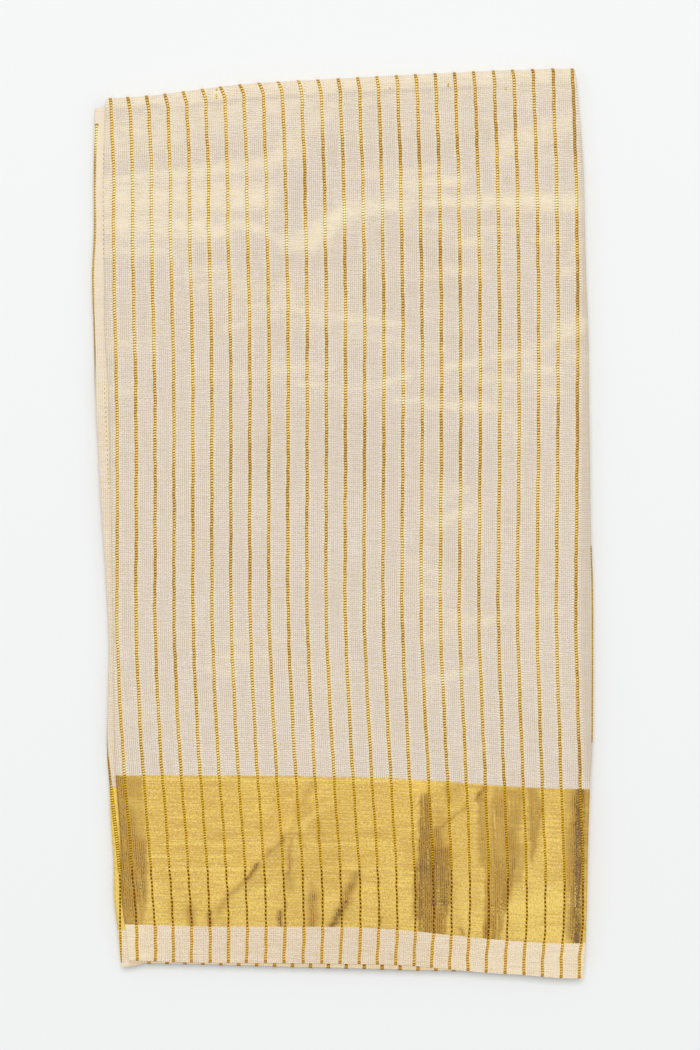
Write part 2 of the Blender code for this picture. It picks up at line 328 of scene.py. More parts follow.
def leaf_finish():
    """Cream cotton whose stripes show as marks over the end folds and as lines underneath."""
    finish = Finish("leaf_cotton", 0.85)
    x, y, z = finish.place()
    leaf = (z * (LEAVES / STACK_HEIGHT)).floor()
    across = (x / STRIPE_PITCH + leaf * 0.37 + 0.21).fraction()
    stripe = 1 - (across - 0.5).absolute().step_up(0.075, 0.105)
    bar = (y * (2 * math.pi / BAR_PITCH)).sine() * 0.5 + 0.5
    threads = finish.noise(x * 0.9, y * 0.9, z * 3)
    cream = finish.mix(threads.step_up(0.3, 0.7), EDGE_SHADE, EDGE_CREAM)
    gold = finish.mix(bar * 0.6, STRIPE_GOLD, GAP_GOLD)
    colour = finish.mix(stripe, cream, gold)
    finish.fill(finish.shader, {"Base Color": colour})
    finish.bump(threads + stripe * 0.6, 0.5, 0.3)
    return finish.material


SMOOTH_BELOW = math.radians(50)  # edges that turn less than this look round

bpy.ops.object.select_all(action="DESELECT")
maker = bmesh.new()
loops = []
for height, outline in stack_rings():
    ring = [maker.verts.new((MM * px, MM * py, MM * height)) for px, py in outline]
    loops.append([maker.edges.new(pair) for pair in zip(ring, ring[1:] + ring[:1])])
for below, above in zip(loops, loops[1:]):
    bmesh.ops.bridge_loops(maker, edges=below + above)
for rim in (loops[0], loops[-1]):
    bmesh.ops.contextual_create(maker, geom=rim)
bmesh.ops.recalc_face_normals(maker, faces=maker.faces[:])
folded_leaves = bpy.data.objects.new("folded_leaves", bpy.data.meshes.new("folded_leaves"))
maker.to_mesh(folded_leaves.data)
maker.free()
bpy.context.scene.collection.objects.link(folded_leaves)
folded_leaves.data.materials.append(leaf_finish())
bpy.context.view_layer.objects.active = folded_leaves
folded_leaves.select_set(True)
bpy.ops.object.shade_smooth_by_angle(angle=SMOOTH_BELOW)
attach(folded_leaves, "root")
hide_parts("folded_layers")


# ----------------------------------------
# The ground of the lower fold, the next stretch of the cloth down: one ply of thin cotton whose
# side edges are folds that roll under. It lies a little askew, so a strip of it shows along the
# left, with the stripe that runs beside that fold.
# ----------------------------------------

PLY = 0.35
SIDE_TURN = 1.6
SIDE_DEPTH = 2.2
FLAT_DEPTH = 0.9  # the side folds are pressed flatter than that at the woven end
SIDE_ROUND = 4.3  # about the length of cloth in a side fold's round
TUCK = 2.4  # how far a side fold runs on underneath
SAG_REACH = 26.0
LOWER_LEVEL = 7.3
LOWER_HEAD_INSET = 6.3

LOWER_CROSSINGS = table(
    "x band_head band_foot end",
    (-166, -174.2, -268.7, -292.4),
    (-136, -174.6, -269.0, -292.4),
    (-124, -174.7, -269.1, -288.4),
    (-112, -174.8, -269.2, -288.4),
    (-40, -175.3, -269.8, -289.0),
    (166, -177.0, -271.5, -291.0),
)

# Pressed creases of the top stretch, which show less in those below: each a soft straight ridge.
CREASES = table(
    "x0 y0 x1 y1 half_width height",
    (-107, 187, -71, 197, 9, 0.45),
    (-71, 197, -38, 184, 9, 0.45),
    (-38, 184, 18, 210, 9, 0.60),
    (18, 210, 65, 220, 9, 0.60),
    (65, 220, 150, 211, 9, 0.50),
    (-74, 134, 25, 131, 9, 0.40),
    (-87, 91, -8, 100, 9, 0.40),
    (32, 81, 101, 77, 9, 0.45),
    (45, -67, 117, -64, 9, 0.35),
    (-95, -162, 60, -150, 10, 0.30),
    (-23, -186, -80, -254, 8, 0.60),
    (50, -180, 50, -268, 9, 0.75),
    (112, -178, 98, -272, 10, 0.75),
    (5, -250, -20, -262, 8, 0.45),
    (-28, 183, -5, 203, 4, 0.50),
    (-5, 203, 38, 210, 4, 0.45),
    (51, 256, 124, 253, 3, 0.30),
    (114, 269, 88, 253, 3, 0.25),
    (38, 89, 91, 89, 3, 0.30),
    (-27, -190, -50, -221, 3.5, 0.65),
    (-50, -221, -76, -248, 3.5, 0.55),
    (-34, -208, -36, -240, 3, 0.35),
    (7, -230, -6, -262, 4, 0.45),
)


def ease(t):
    """From 0 to 1 with a soft start and end."""
    t = np.clip(t, 0.0, 1.0)
    return t * t * (3 - 2 * t)


def hump(at, middle, half_width):
    """1 at the middle, falling softly away on both sides."""
    return np.exp(-(((at - middle) / half_width) ** 2))


def strokes(rows, x, y, amount):
    """The strongest of a table's soft strokes at each point, rounded off where they meet."""
    total = np.zeros(np.broadcast(x, y).shape)
    for stroke in rows:
        run_x, run_y = stroke["x1"] - stroke["x0"], stroke["y1"] - stroke["y0"]
        length = max(run_x * run_x + run_y * run_y, 1e-6)
        along = ((x - stroke["x0"]) * run_x + (y - stroke["y0"]) * run_y) / length
        along = np.clip(along, 0.0, 1.0)
        away = np.hypot(x - stroke["x0"] - along * run_x, y - stroke["y0"] - along * run_y)
        total += (stroke[amount] * hump(away, 0.0, stroke["half_width"])) ** 4
    return total**0.25


def relief(x, y):
    """Height of the creases and the gentle swell of the upper cloth over its level."""
    swell = 0.5 + 0.5 * np.sin(x / 70 + 0.8) * np.cos(y / 95 - 0.4)
    from_side = np.minimum(x - side("upper_left", y), side("upper_right", y) - x)
    return ease(from_side / 14) * (strokes(CREASES, x, y, "height") + 0.25 * swell)


def half_round(reach, drop):
    """The length of cloth in a fold's half round, reach out from its start and twice drop high."""
    return math.pi * np.sqrt((reach**2 + drop**2) / 2)


def go_round(past, length, reach, drop):
    """How far round a fold a point is that lies past its start, as an angle from straight up to
    straight down, and how far its surface faces outwards and upwards there."""
    angle = math.pi * (0.5 - np.clip(past / length, 0.0, 1.0))
    outwards, upwards = np.cos(angle) / reach, np.sin(angle) / drop
    size = np.hypot(outwards, upwards)
    return angle, outwards / size, upwards / size


class Layer:
    """A stretch of the cloth as a surface in millimetres. It lies flat between its side folds,
    rolls under at them, goes round a fold at its head and sags towards its woven end. insets are
    how far it stops short of the outline at the left, at the right and at the head."""

    def __init__(
        self, left, insets, crossings, level, sag, relief_share, side_turn, head_turn, head_middle
    ):
        self.left, self.insets, self.crossings = left, insets, crossings
        self.level, self.sag = level, sag
        self.relief_share, self.side_turn = relief_share, side_turn
        self.reach, self.fall = head_turn, level - head_middle

    def edges(self, y):
        return side(self.left, y) + self.insets[0], side("upper_right", y) - self.insets[1]

    def side_depth(self, y):
        near_end = ease((y - crossing("end", 0.0)) / SAG_REACH)
        return FLAT_DEPTH + (SIDE_DEPTH - FLAT_DEPTH) * near_end

    def side_length(self, y):
        return half_round(self.side_turn, self.side_depth(y) / 2)

    def head_length(self):
        return half_round(self.reach, self.fall)

    def flat_end(self, x):
        """Where the fold at the head starts."""
        return crossing("last_fold", x) - self.insets[2] - self.reach

    def line(self, name, x):
        """The y at x of a line that crosses the layer."""
        return self.flat_end(x) if name == "flat_end" else read(self.crossings, "x", name, x)

    def spot(self, x, y):
        """The point at x, y and the way its surface faces. Past the start of a fold, x or y
        counts along the cloth as it goes round."""
        left, right = self.edges(y)
        left, right = left + self.side_turn, right - self.side_turn
        over = np.maximum(left - x, x - right)
        outward = np.where(x > (left + right) / 2, 1.0, -1.0)
        depth, length = self.side_depth(y), self.side_length(y)
        angle, facing_out, facing_up = go_round(over, length, self.side_turn, depth / 2)
        drop = depth / 2 * (1 - np.sin(angle))
        inward = np.maximum(over - length, 0.0)
        flat_x = np.clip(x, left, right)
        shown_x = flat_x + outward * (self.side_turn * np.cos(angle) - inward)

        past = y - self.flat_end(flat_x)
        turn, head_y, head_z = go_round(past, self.head_length(), self.reach, self.fall)
        under = np.maximum(past - self.head_length(), 0.0)
        flat_y = np.minimum(y, self.flat_end(flat_x))
        height = self.relief_share * relief(flat_x, flat_y) * np.maximum(np.sin(turn), 0.0)
        sag = self.sag * (1 - ease((flat_y - crossing("end", flat_x)) / SAG_REACH)) ** 1.3
        shown_y = flat_y + self.reach * np.cos(turn) - under - drop * head_y
        shown_z = self.level - self.fall * (1 - np.sin(turn)) - drop * head_z + height - sag
        point = np.stack(np.broadcast_arrays(shown_x, shown_y, shown_z), axis=-1)
        facing = (outward * facing_out, facing_up * head_y, facing_up * head_z)
        return point, np.stack(np.broadcast_arrays(*facing), axis=-1)


# Where the stripes run: every third of the 25 at each y, drawn in at the woven end.
STRIPES = 25
STRIPE_RUNS = table(
    "y first fourth seventh tenth thirteenth sixteenth nineteenth twenty_second last",
    (-287, -135.4, -99.6, -63.2, -26.0, 11.1, 47.3, 82.8, 120.0, 156.7),
    (-270, -135.6, -99.4, -62.7, -25.3, 12.0, 48.3, 83.9, 121.4, 158.3),
    (-248.5, -137.1, -100.4, -63.2, -25.6, 12.0, 48.2, 84.2, 121.7, 158.9),
    (-225.5, -139.0, -101.8, -64.3, -26.5, 11.1, 47.6, 84.1, 121.6, 159.0),
    (-192.5, -141.5, -104.2, -66.6, -28.8, 8.7, 45.9, 82.9, 120.2, 157.6),
    (-159.5, -144.2, -106.8, -69.0, -31.1, 6.6, 44.0, 81.4, 118.9, 156.6),
    (-116.5, -146.8, -109.2, -71.3, -33.5, 4.2, 41.7, 79.3, 117.3, 155.4),
    (-64, -148.7, -111.0, -73.3, -35.6, 2.0, 39.6, 77.3, 115.7, 154.1),
    (-11, -148.5, -111.0, -73.6, -36.0, 1.9, 39.5, 77.6, 116.0, 154.5),
    (41.5, -148.5, -111.1, -73.6, -35.8, 2.1, 39.9, 78.1, 116.6, 155.0),
    (94.5, -149.1, -111.2, -73.6, -35.7, 2.1, 40.1, 78.2, 116.7, 155.3),
    (147.5, -150.4, -112.4, -74.2, -35.9, 2.1, 39.9, 78.0, 116.5, 155.4),
    (193.5, -150.9, -113.4, -75.5, -36.9, 1.5, 39.1, 77.3, 116.0, 154.9),
    (233, -150.9, -113.6, -75.8, -37.6, 0.7, 38.5, 76.6, 115.3, 154.2),
    (272.5, -152.5, -115.1, -77.3, -39.1, -0.9, 37.1, 75.2, 113.9, 152.8),
    (292, -153.1, -115.7, -77.9, -39.7, -1.5, 36.5, 74.6, 113.3, 152.2),
)


def across_cloth(x, y):
    """Millimetres across the cloth as woven, counted from the first stripe."""
    first, last = (read(STRIPE_RUNS, "y", name, y) for name in ("first", "last"))
    return (x - first) / (last - first) * (STRIPES - 1) * STRIPE_PITCH


def across_stations(columns, rim, crowd=1.0):
    """Across a sheet: share of the flat between its side folds, and how far past the fold's
    start it has gone, in half turns, negative on the left. They crowd to the left past 1."""
    turns = [1.0 + TUCK / SIDE_ROUND] + list(np.linspace(1.0, 1.0 / rim, rim))
    left = [(0.0, -turn) for turn in turns]
    flat = [((k / columns) ** crowd, 0.0) for k in range(columns + 1)]
    right = [(1.0, turn) for turn in reversed(turns)]
    return np.array(left + flat + right)


def new_grid(name, columns, rows):
    """A grid primitive, everything else deselected, with each vertex's column and row."""
    bpy.ops.object.select_all(action="DESELECT")
    bpy.ops.mesh.primitive_grid_add(x_subdivisions=columns - 1, y_subdivisions=rows - 1, size=1)
    piece = bpy.context.object
    piece.name = piece.data.name = name
    flat = np.empty(3 * len(piece.data.vertices))
    piece.data.vertices.foreach_get("co", flat)
    flat = flat.reshape(-1, 3)
    column = np.rint((flat[:, 0] + 0.5) * (columns - 1)).astype(int)
    row = np.rint((flat[:, 1] + 0.5) * (rows - 1)).astype(int)
    return piece, column, row


def set_points(piece, points):
    piece.data.vertices.foreach_set("co", (MM * points).reshape(-1))
    piece.data.update()


def set_values(piece, **named):
    """Numbers that the piece's finish reads: each has one for every point, or one for all."""
    for name, values in named.items():
        layer = piece.data.attributes.new(name, "FLOAT", "POINT")
        values = np.broadcast_to(values, len(piece.data.vertices))
        layer.data.foreach_set("value", values.astype(np.float32))


def set_threads(piece, across, along):
    """The piece's UV map: metres across the cloth and along it, so that threads follow it."""
    corner = np.empty(len(piece.data.loops), int)
    piece.data.loops.foreach_get("vertex_index", corner)
    layer = piece.data.uv_layers.active or piece.data.uv_layers.new(name="threads")
    layer.name = "threads"
    both = MM * np.column_stack((across, along))[corner]
    layer.data.foreach_set("uv", both.reshape(-1).astype(np.float32))


# About where the band's head and foot lie. The weft is counted from its head.
BAND_HEAD, BAND_FOOT = -167.0, -265.0


def lay_sheet(name, layer, foot, head, stations, rows, extra_rows=()):
    """A grid laid on a layer between two named lines that cross it. extra_rows go on round its
    head, each a share of the half turn there."""
    up = np.concatenate((np.linspace(0, 1, rows + 1), np.ones(len(extra_rows))))
    past = np.concatenate((np.zeros(rows + 1), layer.head_length() * np.array(extra_rows)))
    piece, column, row = new_grid(name, len(stations), len(up))
    share, turns = stations[column].T
    x, y = np.zeros(len(column)), np.zeros(len(column))
    for _ in range(3):
        left, right = layer.edges(y)
        start, end = left + layer.side_turn, right - layer.side_turn
        flat_x = start + share * (end - start)
        low = layer.line(foot, flat_x)
        y = low + up[row] * (layer.line(head, flat_x) - low)
        x = flat_x + turns * layer.side_length(y)
    along = y + past[row]
    points, _ = layer.spot(x, along)
    set_points(piece, points)
    set_threads(piece, across_cloth(x, y), along - (crossing("band_head", flat_x) - BAND_HEAD))
    return piece, flat_x, y


def dress(piece, finish, node):
    """Gives a sheet its finish and the thickness of one ply, inwards, and puts it in the place of
    its solid."""
    bpy.ops.object.select_all(action="DESELECT")
    piece.select_set(True)
    bpy.context.view_layer.objects.active = piece
    piece.data.materials.append(finish)
    ply = piece.modifiers.new("ply", "SOLIDIFY")
    ply.thickness = PLY * MM
    ply.offset = -1.0
    bpy.ops.object.modifier_apply(modifier=ply.name)
    bpy.ops.object.shade_smooth_by_angle(angle=SMOOTH_BELOW)
    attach(piece, "root")
    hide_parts(node)


THREAD_PITCH = 1.32
SHEEN_TINT = (1.0, 0.93, 0.8, 1.0)
YELLOW_YARN = (255, 250, 213)
PALE_TICK = (250, 241, 216)


def cotton_finish(name, ground, lit, threads_and_shade, lines=1.0, yarn=0.6, ticks=0.0):
    """Plain-woven cotton. Its threads show as lines both ways, slubs as streaks along the weft,
    and some yarns are yellower than others. Light is painted on it: a warm painted sheen, in the
    lit colour and yellower, where its painted sheen number is up, and painted shade, in the shaded
    colour that also gives its darker threads, where its shade number is up. With ticks, the weft
    shows pale and dark by turns beside each stripe, where the cord pulls it."""
    finish = Finish(name, 0.8)
    finish.fill(finish.shader, {"Sheen Weight": 0.1, "Sheen Tint": SHEEN_TINT})
    across, along = finish.threads()
    glow, shade = finish.number("glow"), finish.number("shade")
    slub = finish.noise(across * 0.06, along * 0.9)
    hank = finish.noise(across * 0.9, along * 0.04, 7.0)
    grain = finish.noise(across * 1.35, along * 1.25, 3.0, detail=1.0)
    cloud = finish.noise(across * 0.035, along * 0.05, 5.0, detail=3.0)
    warpwise = finish.noise(across * 0.05, along * 0.03, 11.0).step_up(0.35, 0.65)
    warp = (across * (2 * math.pi / THREAD_PITCH)).sine() * (warpwise * 0.6 + 0.4)
    weft = (along * (2 * math.pi / THREAD_PITCH)).sine() * (1 - warpwise * 0.6)
    tone = (slub - 0.5) * 1.8 + (hank - 0.5) * (shade * 1.2 + 1.1)
    tone = tone + (grain - 0.5) * 4.6 + (cloud - 0.5) * 0.5 + (warp * 1.5 + weft) * 0.6 * lines
    colour = finish.mix((tone + 0.5).kept(), threads_and_shade, ground)
    patchy = finish.noise(across * 0.09, along * 0.16, 2.0, detail=3.0)
    # Painted sheen: the colour goes over to the lit colour where the painted sheen is up.
    gleam = glow * 1.05 - 0.08 + (patchy - 0.5) * 1.1 + (slub - 0.5) * 0.6 + (grain - 0.5) * 1.2
    colour = finish.mix((gleam * glow.step_up(0.0, 0.55)).kept(), colour, lit)
    # Painted shade: the colour goes over to the shaded colour where shade is up.
    dim = shade * ((hank - 0.5) * 1.5 + (grain - 0.5) + warp * 0.2 + 0.35)
    colour = finish.mix(dim.kept(), colour, threads_and_shade)
    streak = finish.noise(across * 0.22, along * 1.0, 13.0)
    speck = finish.noise(across * 0.7, along * 0.5, 19.0, detail=1.0)
    # The yellower yarns show more in the painted sheen.
    yellow = (streak - 0.5) * 3.5 + (speck - 0.5) * 2.5 + glow * 0.25 + 0.3
    yellow = yellow.kept() * (glow.kept() * 0.12 + yarn)
    colour = finish.mix(yellow, colour, YELLOW_YARN, "MULTIPLY")
    if ticks:
        stripe = finish.number("stripe") + 0.5
        beside = (stripe.fraction() - 0.5).absolute() * STRIPE_PITCH
        reach = beside.step_up(0.9, 1.2) * (1 - beside.step_up(1.9, 3.5)) * ticks
        reach = reach * finish.noise(across * 0.16, along * 0.05, 29.0).step_up(0.25, 0.6)
        pull = (along * (2 * math.pi / BAR_PITCH) + stripe.floor() * 2.4).sine() * 0.5
        pull = pull + (grain - 0.5) * 0.8 + (speck - 0.5) * 1.2
        colour = finish.mix(pull.step_up(0.0, 0.4) * reach, colour, PALE_TICK)
        colour = finish.mix((0 - pull).step_up(0.0, 0.4) * reach, colour, threads_and_shade)
    finish.fill(finish.shader, {"Base Color": colour})
    finish.bump(warp * 0.3 + weft * 0.3 + slub * 0.8 + grain, 0.3, 0.12)
    return finish.material


def stripe_finish(name, dull, middle, bright, gap, lit_gap):
    """Gold cord of supplementary warp. crest is 1 on a bar and 0 in the gap where the weft binds
    it down, and gleam is how much of the light it catches. That light is painted: as gleam rises,
    the bars go from their painted-shade colour through middle to a bright painted highlight, and
    the gaps from gap to lit_gap."""
    finish = Finish(name, 0.42, metallic=0.35, specular=0.12)
    crest, gleam = finish.number("crest"), finish.number("gleam")
    x, y, z = finish.place()
    strand = finish.noise(x * 0.7, y * 0.7, z * 0.7, detail=1.0)
    gleam = gleam + (strand - 0.5)
    # Painted shade and painted highlight on the bars, by gleam.
    bar = finish.mix(gleam.step_up(0.0, 0.5), dull, middle)
    bar = finish.mix(gleam.step_up(0.5, 1.0), bar, bright)
    between = finish.mix(gleam.step_up(0.3, 1.0), gap, lit_gap)
    colour = finish.mix(crest.step_up(0.2, 0.8), between, bar)
    finish.fill(finish.shader, {"Base Color": colour})
    finish.bump(strand, 0.4, 0.1)
    return finish.material


CORD_WIDTHS = (1.27, 0.95)  # half the width of a bar, and of the gap between bars
CORD_HEIGHT = 0.35
BAR_PLACES = (0.0, 0.38, 0.64)  # a gap's middle and a bar's two ends, as shares of the pitch
DOT_PLACES = (0.0, 0.46, 0.54)


def lay_stripe(
    layer, centre, foot, length, gleam,
    pitch=BAR_PITCH, widths=CORD_WIDTHS, height=CORD_HEIGHT, slant=0.0, dotted=False,
):
    """One stripe as a ribbon on a layer, from its foot up: bars and gaps, each row bent a little
    on the slant. centre is its x, or gives it at a y. gleam is how bright its painted light is,
    or gives that at x, y. Dotted, its gaps are longer."""
    bars = max(int(round(length / pitch)), 1)
    across = np.array((-1.0, -0.5, 0.5, 1.0))
    piece, column, row = new_grid("stripe", 4, 3 * bars + 1)
    phase = row % 3
    places = np.array(DOT_PLACES if dotted else BAR_PLACES)
    half = np.where(phase > 0, widths[0], widths[1])
    y = foot + (row // 3 + places[phase]) * length / bars
    x = (centre(y) if callable(centre) else centre) + across[column] * half
    y = y + slant * across[column] * half * ((row > 0) & (row < 3 * bars))
    point, facing = layer.spot(x, y)
    edge = np.abs(across[column]) == 1.0
    rise = np.where(edge, -0.06, np.where(phase > 0, height, 0.3 * height))
    set_points(piece, point + facing * rise[:, None])
    # Less crest at the ribbon's edges: painted shade at the sides of each bar, where the cord rounds
    # away.
    crest = np.where(phase > 0, 0.88 if dotted else 1.0, 0.0) * np.where(edge, 0.55, 1.0)
    set_values(piece, crest=crest, gleam=gleam(x, y) if callable(gleam) else gleam)
    return piece


def join(name, parts, finish):
    """Makes one piece of a sheet's stripes."""
    bpy.ops.object.select_all(action="DESELECT")
    for part in parts:
        part.select_set(True)
    bpy.context.view_layer.objects.active = parts[0]
    bpy.ops.object.join()
    parts[0].name = parts[0].data.name = name
    parts[0].data.materials.append(finish)
    bpy.ops.object.shade_smooth()
    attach(parts[0], "root")
    return parts[0]


lower = Layer(
    "lower_left", (0.0, LOWER_RIGHT_INSET, LOWER_HEAD_INSET), LOWER_CROSSINGS,
    level=LOWER_LEVEL, sag=0.5, relief_share=0.15,
    side_turn=SIDE_TURN, head_turn=1.6, head_middle=LOWER_LEVEL - 1.1,
)

# Its only stripe in view runs beside the side fold, goes over it for a stretch and comes back.
LOWER_STRIPE = table(
    "y x",
    (-292.3, -146.0),
    (-268.5, -146.8),
    (-231, -147.2),
    (-217.7, -148.2),
    (-189.3, -151.3),
    (-172.8, -153.1),
    (-160, -154.5),
    (-149, -156.0),
    (-135, -157.0),
    (-100, -157.0),
    (0, -160.6),
    (60, -164.2),
    (92.5, -164.5),
    (105, -163.9),
    (127, -164.3),
    (150, -164.7),
    (165, -164.9),
    (176, -164.4),
    (188, -163.7),
    (225, -163.7),
    (246.3, -163.3),
    (263.9, -162.3),
)


def lower_line(y):
    return read(LOWER_STRIPE, "y", "x", y)


def lower_gleam(x, y):
    """Painted highlight near the top, and painted shade, browner, as it runs over the side fold."""
    lit = 0.8 * hump(y, 255, 11) + 0.45 * hump(y, 218, 17)
    return 0.25 + lit + 0.2 * np.sin(y / 21)


def next_line(y):
    """The stripe beside it, of which only the tips of its bars come out from under the top
    stretch: here for a stretch in the middle, and again near the head."""
    return -156.5 + (73 - y) / 23


NEXT_LINE_HEAD = -157.9
TIP_PITCH = 3.1
LAST_BAR = 1.4  # the last bar, drawn dark

gold_stripe = stripe_finish(
    "stripe_zari", dull=(202, 156, 66), middle=(252, 210, 108), bright=(255, 244, 182),
    gap=(100, 64, 10), lit_gap=(162, 120, 46),
)
lower_stripes = join(
    "lower_stripe",
    [
        lay_stripe(lower, lower_line, -172.8, 436, lower_gleam, widths=(1.1, 0.85), slant=0.25),
        lay_stripe(lower, lower_line, 262.6, LAST_BAR, -0.5, LAST_BAR, (1.5, 0.8), 0.6),
        lay_stripe(lower, next_line, 20, 72, 1.0, TIP_PITCH, (0.4, 0.2), 0.15),
        lay_stripe(lower, NEXT_LINE_HEAD, 175, 72, 1.0, TIP_PITCH, (0.3, 0.2), 0.1),
    ],
    gold_stripe,
)

lower_stations = across_stations(60, 8, crowd=2.0)
lower_ground, _, y = lay_sheet(
    "lower_ground", lower, "band_head", "flat_end", lower_stations, rows=110, extra_rows=(0.25, 0.5)
)
# Painted sheen, growing towards the head with a band of it near the top, and painted shade towards
# the woven end.
set_values(
    lower_ground,
    glow=0.85 * ease((y + 60) / 300) + 0.5 * hump(y, 246, 14),
    shade=0.3 * ease((40 - y) / 150),
)
lower_cotton = cotton_finish(
    "lower_cotton", ground=(246, 232, 218), lit=(244, 231, 217), threads_and_shade=(222, 204, 178)
)
dress(
    lower_ground, lower_cotton, "lower_body",
)


# ----------------------------------------
# The lower fold's stretch of the zari band, woven with gold weft only on the same cotton warp.
# Its edge strip lies open to the light, which is painted on it as a highlight. Its stripe starts
# as bars and goes on as dots.
# ----------------------------------------

DOT_PITCH = 2.6
ROPE_PITCH = 1.75
PINK_WARP = (224, 184, 144)
# The warp's colour in the deepest painted shade.
DEEP_SHADE_WARP = (112, 84, 66)
OLIVE_GOLD = (212, 178, 48)

band_stripe = stripe_finish(
    "band_stripe_zari", dull=(168, 116, 8), middle=(226, 178, 30), bright=(255, 220, 92),
    gap=(100, 50, 0), lit_gap=(118, 62, 0),
)
lower_end_stripes = join(
    "lower_end_stripe",
    [
        lay_stripe(lower, lower_line, -290.5, 21.5, 0.7, ROPE_PITCH, (0.9, 0.7), slant=0.25),
        lay_stripe(lower, lower_line, -268.5, 38, 0.7, DOT_PITCH, (0.75, 0.7), 0.3, dotted=True),
        lay_stripe(lower, lower_line, -230, 57, 0.75, 1.6, (1.5, 1.2), slant=0.2),
    ],
    band_stripe,
)


def zari_finish(name, bright, rich, dim, deep):
    """Tissue: gold zari weft over a pinkish cotton warp. The weft streaks where it is lit, and the
    warp shows as fine upright lines where the cloth leans away. Both are painted light: the gold
    goes over to bright, a painted highlight, where shine is up, and to painted shade between dim and
    deep where the band's painted-shade number is up, with the warp's darkest colour in the deepest
    shade."""
    finish = Finish(name, 0.42, metallic=0.4, specular=0.3)
    across, along = finish.threads()
    dull, shine = finish.number("dull"), finish.number("shine")
    warp = (across * (2 * math.pi / THREAD_PITCH)).sine()
    fine = finish.noise(across * 0.7, along * 0.035, 2.0)
    weft = finish.noise(across * 0.04, along * 1.25, 4.0, detail=3.0)
    pick = finish.noise(across * 0.5, along * 1.2, 6.0)
    grain = finish.noise(across * 0.85, along * 0.85, 9.0, detail=1.0)
    cloud = finish.noise(across * 0.05, along * 0.05, 1.0, detail=3.0)
    lit = (weft - 0.5) * 2.8 + (pick - 0.5) * 2.2 + (grain - 0.5) * 2.2 + (cloud - 0.5) * 0.7
    # Painted highlight: the gold goes towards bright where shine is up.
    gold = finish.mix((lit + shine * 0.8 + 0.45).kept(), rich, bright)
    lines = (fine - 0.5) * 6 + warp * (dull * 1.1 + 0.1) + (grain - 0.5) * 5
    lines = lines + (pick - 0.5) * 2.5 + 0.44
    # Painted shade: between dim and deep, then the deep-shade warp colour where it is deepest.
    shadow = finish.mix(lines.kept(), deep, dim)
    deep_shade_share = dull.step_up(0.93, 1.0) * (warp * 0.5 + (fine - 0.5) * 3 + 0.45).kept()
    shadow = finish.mix(deep_shade_share, shadow, DEEP_SHADE_WARP)
    lean = (fine - 0.5) * 3.5 + (grain - 0.5) * 3.5 + (pick - 0.5) * 2.5 + warp * 0.2 + 1.05
    colour = finish.mix((dull * lean).kept(), gold, shadow)
    tint = finish.noise(across * 1.3, along * 0.45, 15.0, detail=1.0)
    pink = ((tint - 0.5) * 4 - (weft - 0.5) * 2.5 + 0.35).kept() * (0.55 - dull * 0.48)
    colour = finish.mix((pink * (1 - shine * 0.5)).kept(), colour, PINK_WARP)
    olive = finish.noise(across * 1.1, along * 0.5, 21.0, detail=1.0)
    olive = ((olive - 0.5) * 5 + 0.3).kept() * 0.55
    colour = finish.mix(olive * (1 - dull * 0.7), colour, OLIVE_GOLD)
    finish.fill(finish.shader, {"Base Color": colour})
    finish.bump(weft * 0.6 + fine * 0.6 + grain * 0.5, 0.3, 0.12)
    return finish.material


zari = zari_finish(
    "band_zari", bright=(252, 220, 122), rich=(204, 160, 52), dim=(198, 151, 72), deep=(76, 38, 0)
)
lower_band, *_ = lay_sheet("lower_band", lower, "band_foot", "band_head", lower_stations, rows=24)
# A painted highlight all over and no painted shade: the strip lies open to the light.
set_values(lower_band, dull=0.0, shine=1.5)
dress(
    lower_band, zari, "lower_zari_band",
)


# ----------------------------------------
# The lower fold's heading: plain cotton past the band, up to its woven end. Its left corner comes
# out past the top stretch, and the rest of its end lies in shade, which is painted on.
# ----------------------------------------

heading_cotton = cotton_finish(
    "heading_cotton", ground=(251, 236, 222), lit=(253, 237, 211), threads_and_shade=(217, 195, 164),
    lines=0.6, yarn=0.65,
)
lower_heading, x, y = lay_sheet("lower_heading", lower, "end", "band_foot", lower_stations, rows=8)
# Painted shade over its end right of the corner, and a little painted sheen all over.
in_shade = 1.4 * ease((x + 142) / 1.2) * ease((-287.6 - y) / 1.2)
set_values(lower_heading, glow=0.4, shade=in_shade)
dress(
    lower_heading, heading_cotton, "lower_end_strip",
)


# ----------------------------------------
# The stretch under the top one, nested inside the last fold. Its woven end shows below the top
# one's as a narrow strip in shade, with the ends of its stripes. The same cotton, one ply. Its shade
# is painted on: a little all over, the stripe ends in their darkest colours, and warmer cream
# colours than the other stretches'.
# ----------------------------------------

INNER_LEVEL = 8.6
NEST = 1.3
LAST_FOLD_REACH = 6.0
LAST_FOLD_MIDDLE = 4.95
INNER_INSETS = (1.6, 1.6, NEST)
INNER_FIRST_STRIPE = -127.7
INNER_STRIPE_PITCH = 11.85
INNER_STRIPES = 23
INNER_COLUMNS = 80
ROPE_TURN = 2.6  # two turns of each stripe's rope show

inner = Layer(
    "upper_left", INNER_INSETS, CROSSINGS, level=INNER_LEVEL, sag=1.25, relief_share=0.4,
    side_turn=0.4, head_turn=LAST_FOLD_REACH - NEST, head_middle=LAST_FOLD_MIDDLE,
)

rope_stripe = stripe_finish(
    "rope_zari", dull=(206, 150, 44), middle=(244, 194, 76), bright=(255, 226, 124),
    gap=(138, 86, 12), lit_gap=(180, 124, 38),
)
parts = []
for number in range(INNER_STRIPES):
    x = INNER_FIRST_STRIPE + number * INNER_STRIPE_PITCH
    foot = float(crossing("inner_end", x)) - 0.5
    parts.append(lay_stripe(inner, x, foot, 2 * ROPE_TURN, -0.4, ROPE_TURN, (1.35, 1.2), 0.3))
inner_stripes = join("inner_stripe_ends", parts, rope_stripe)

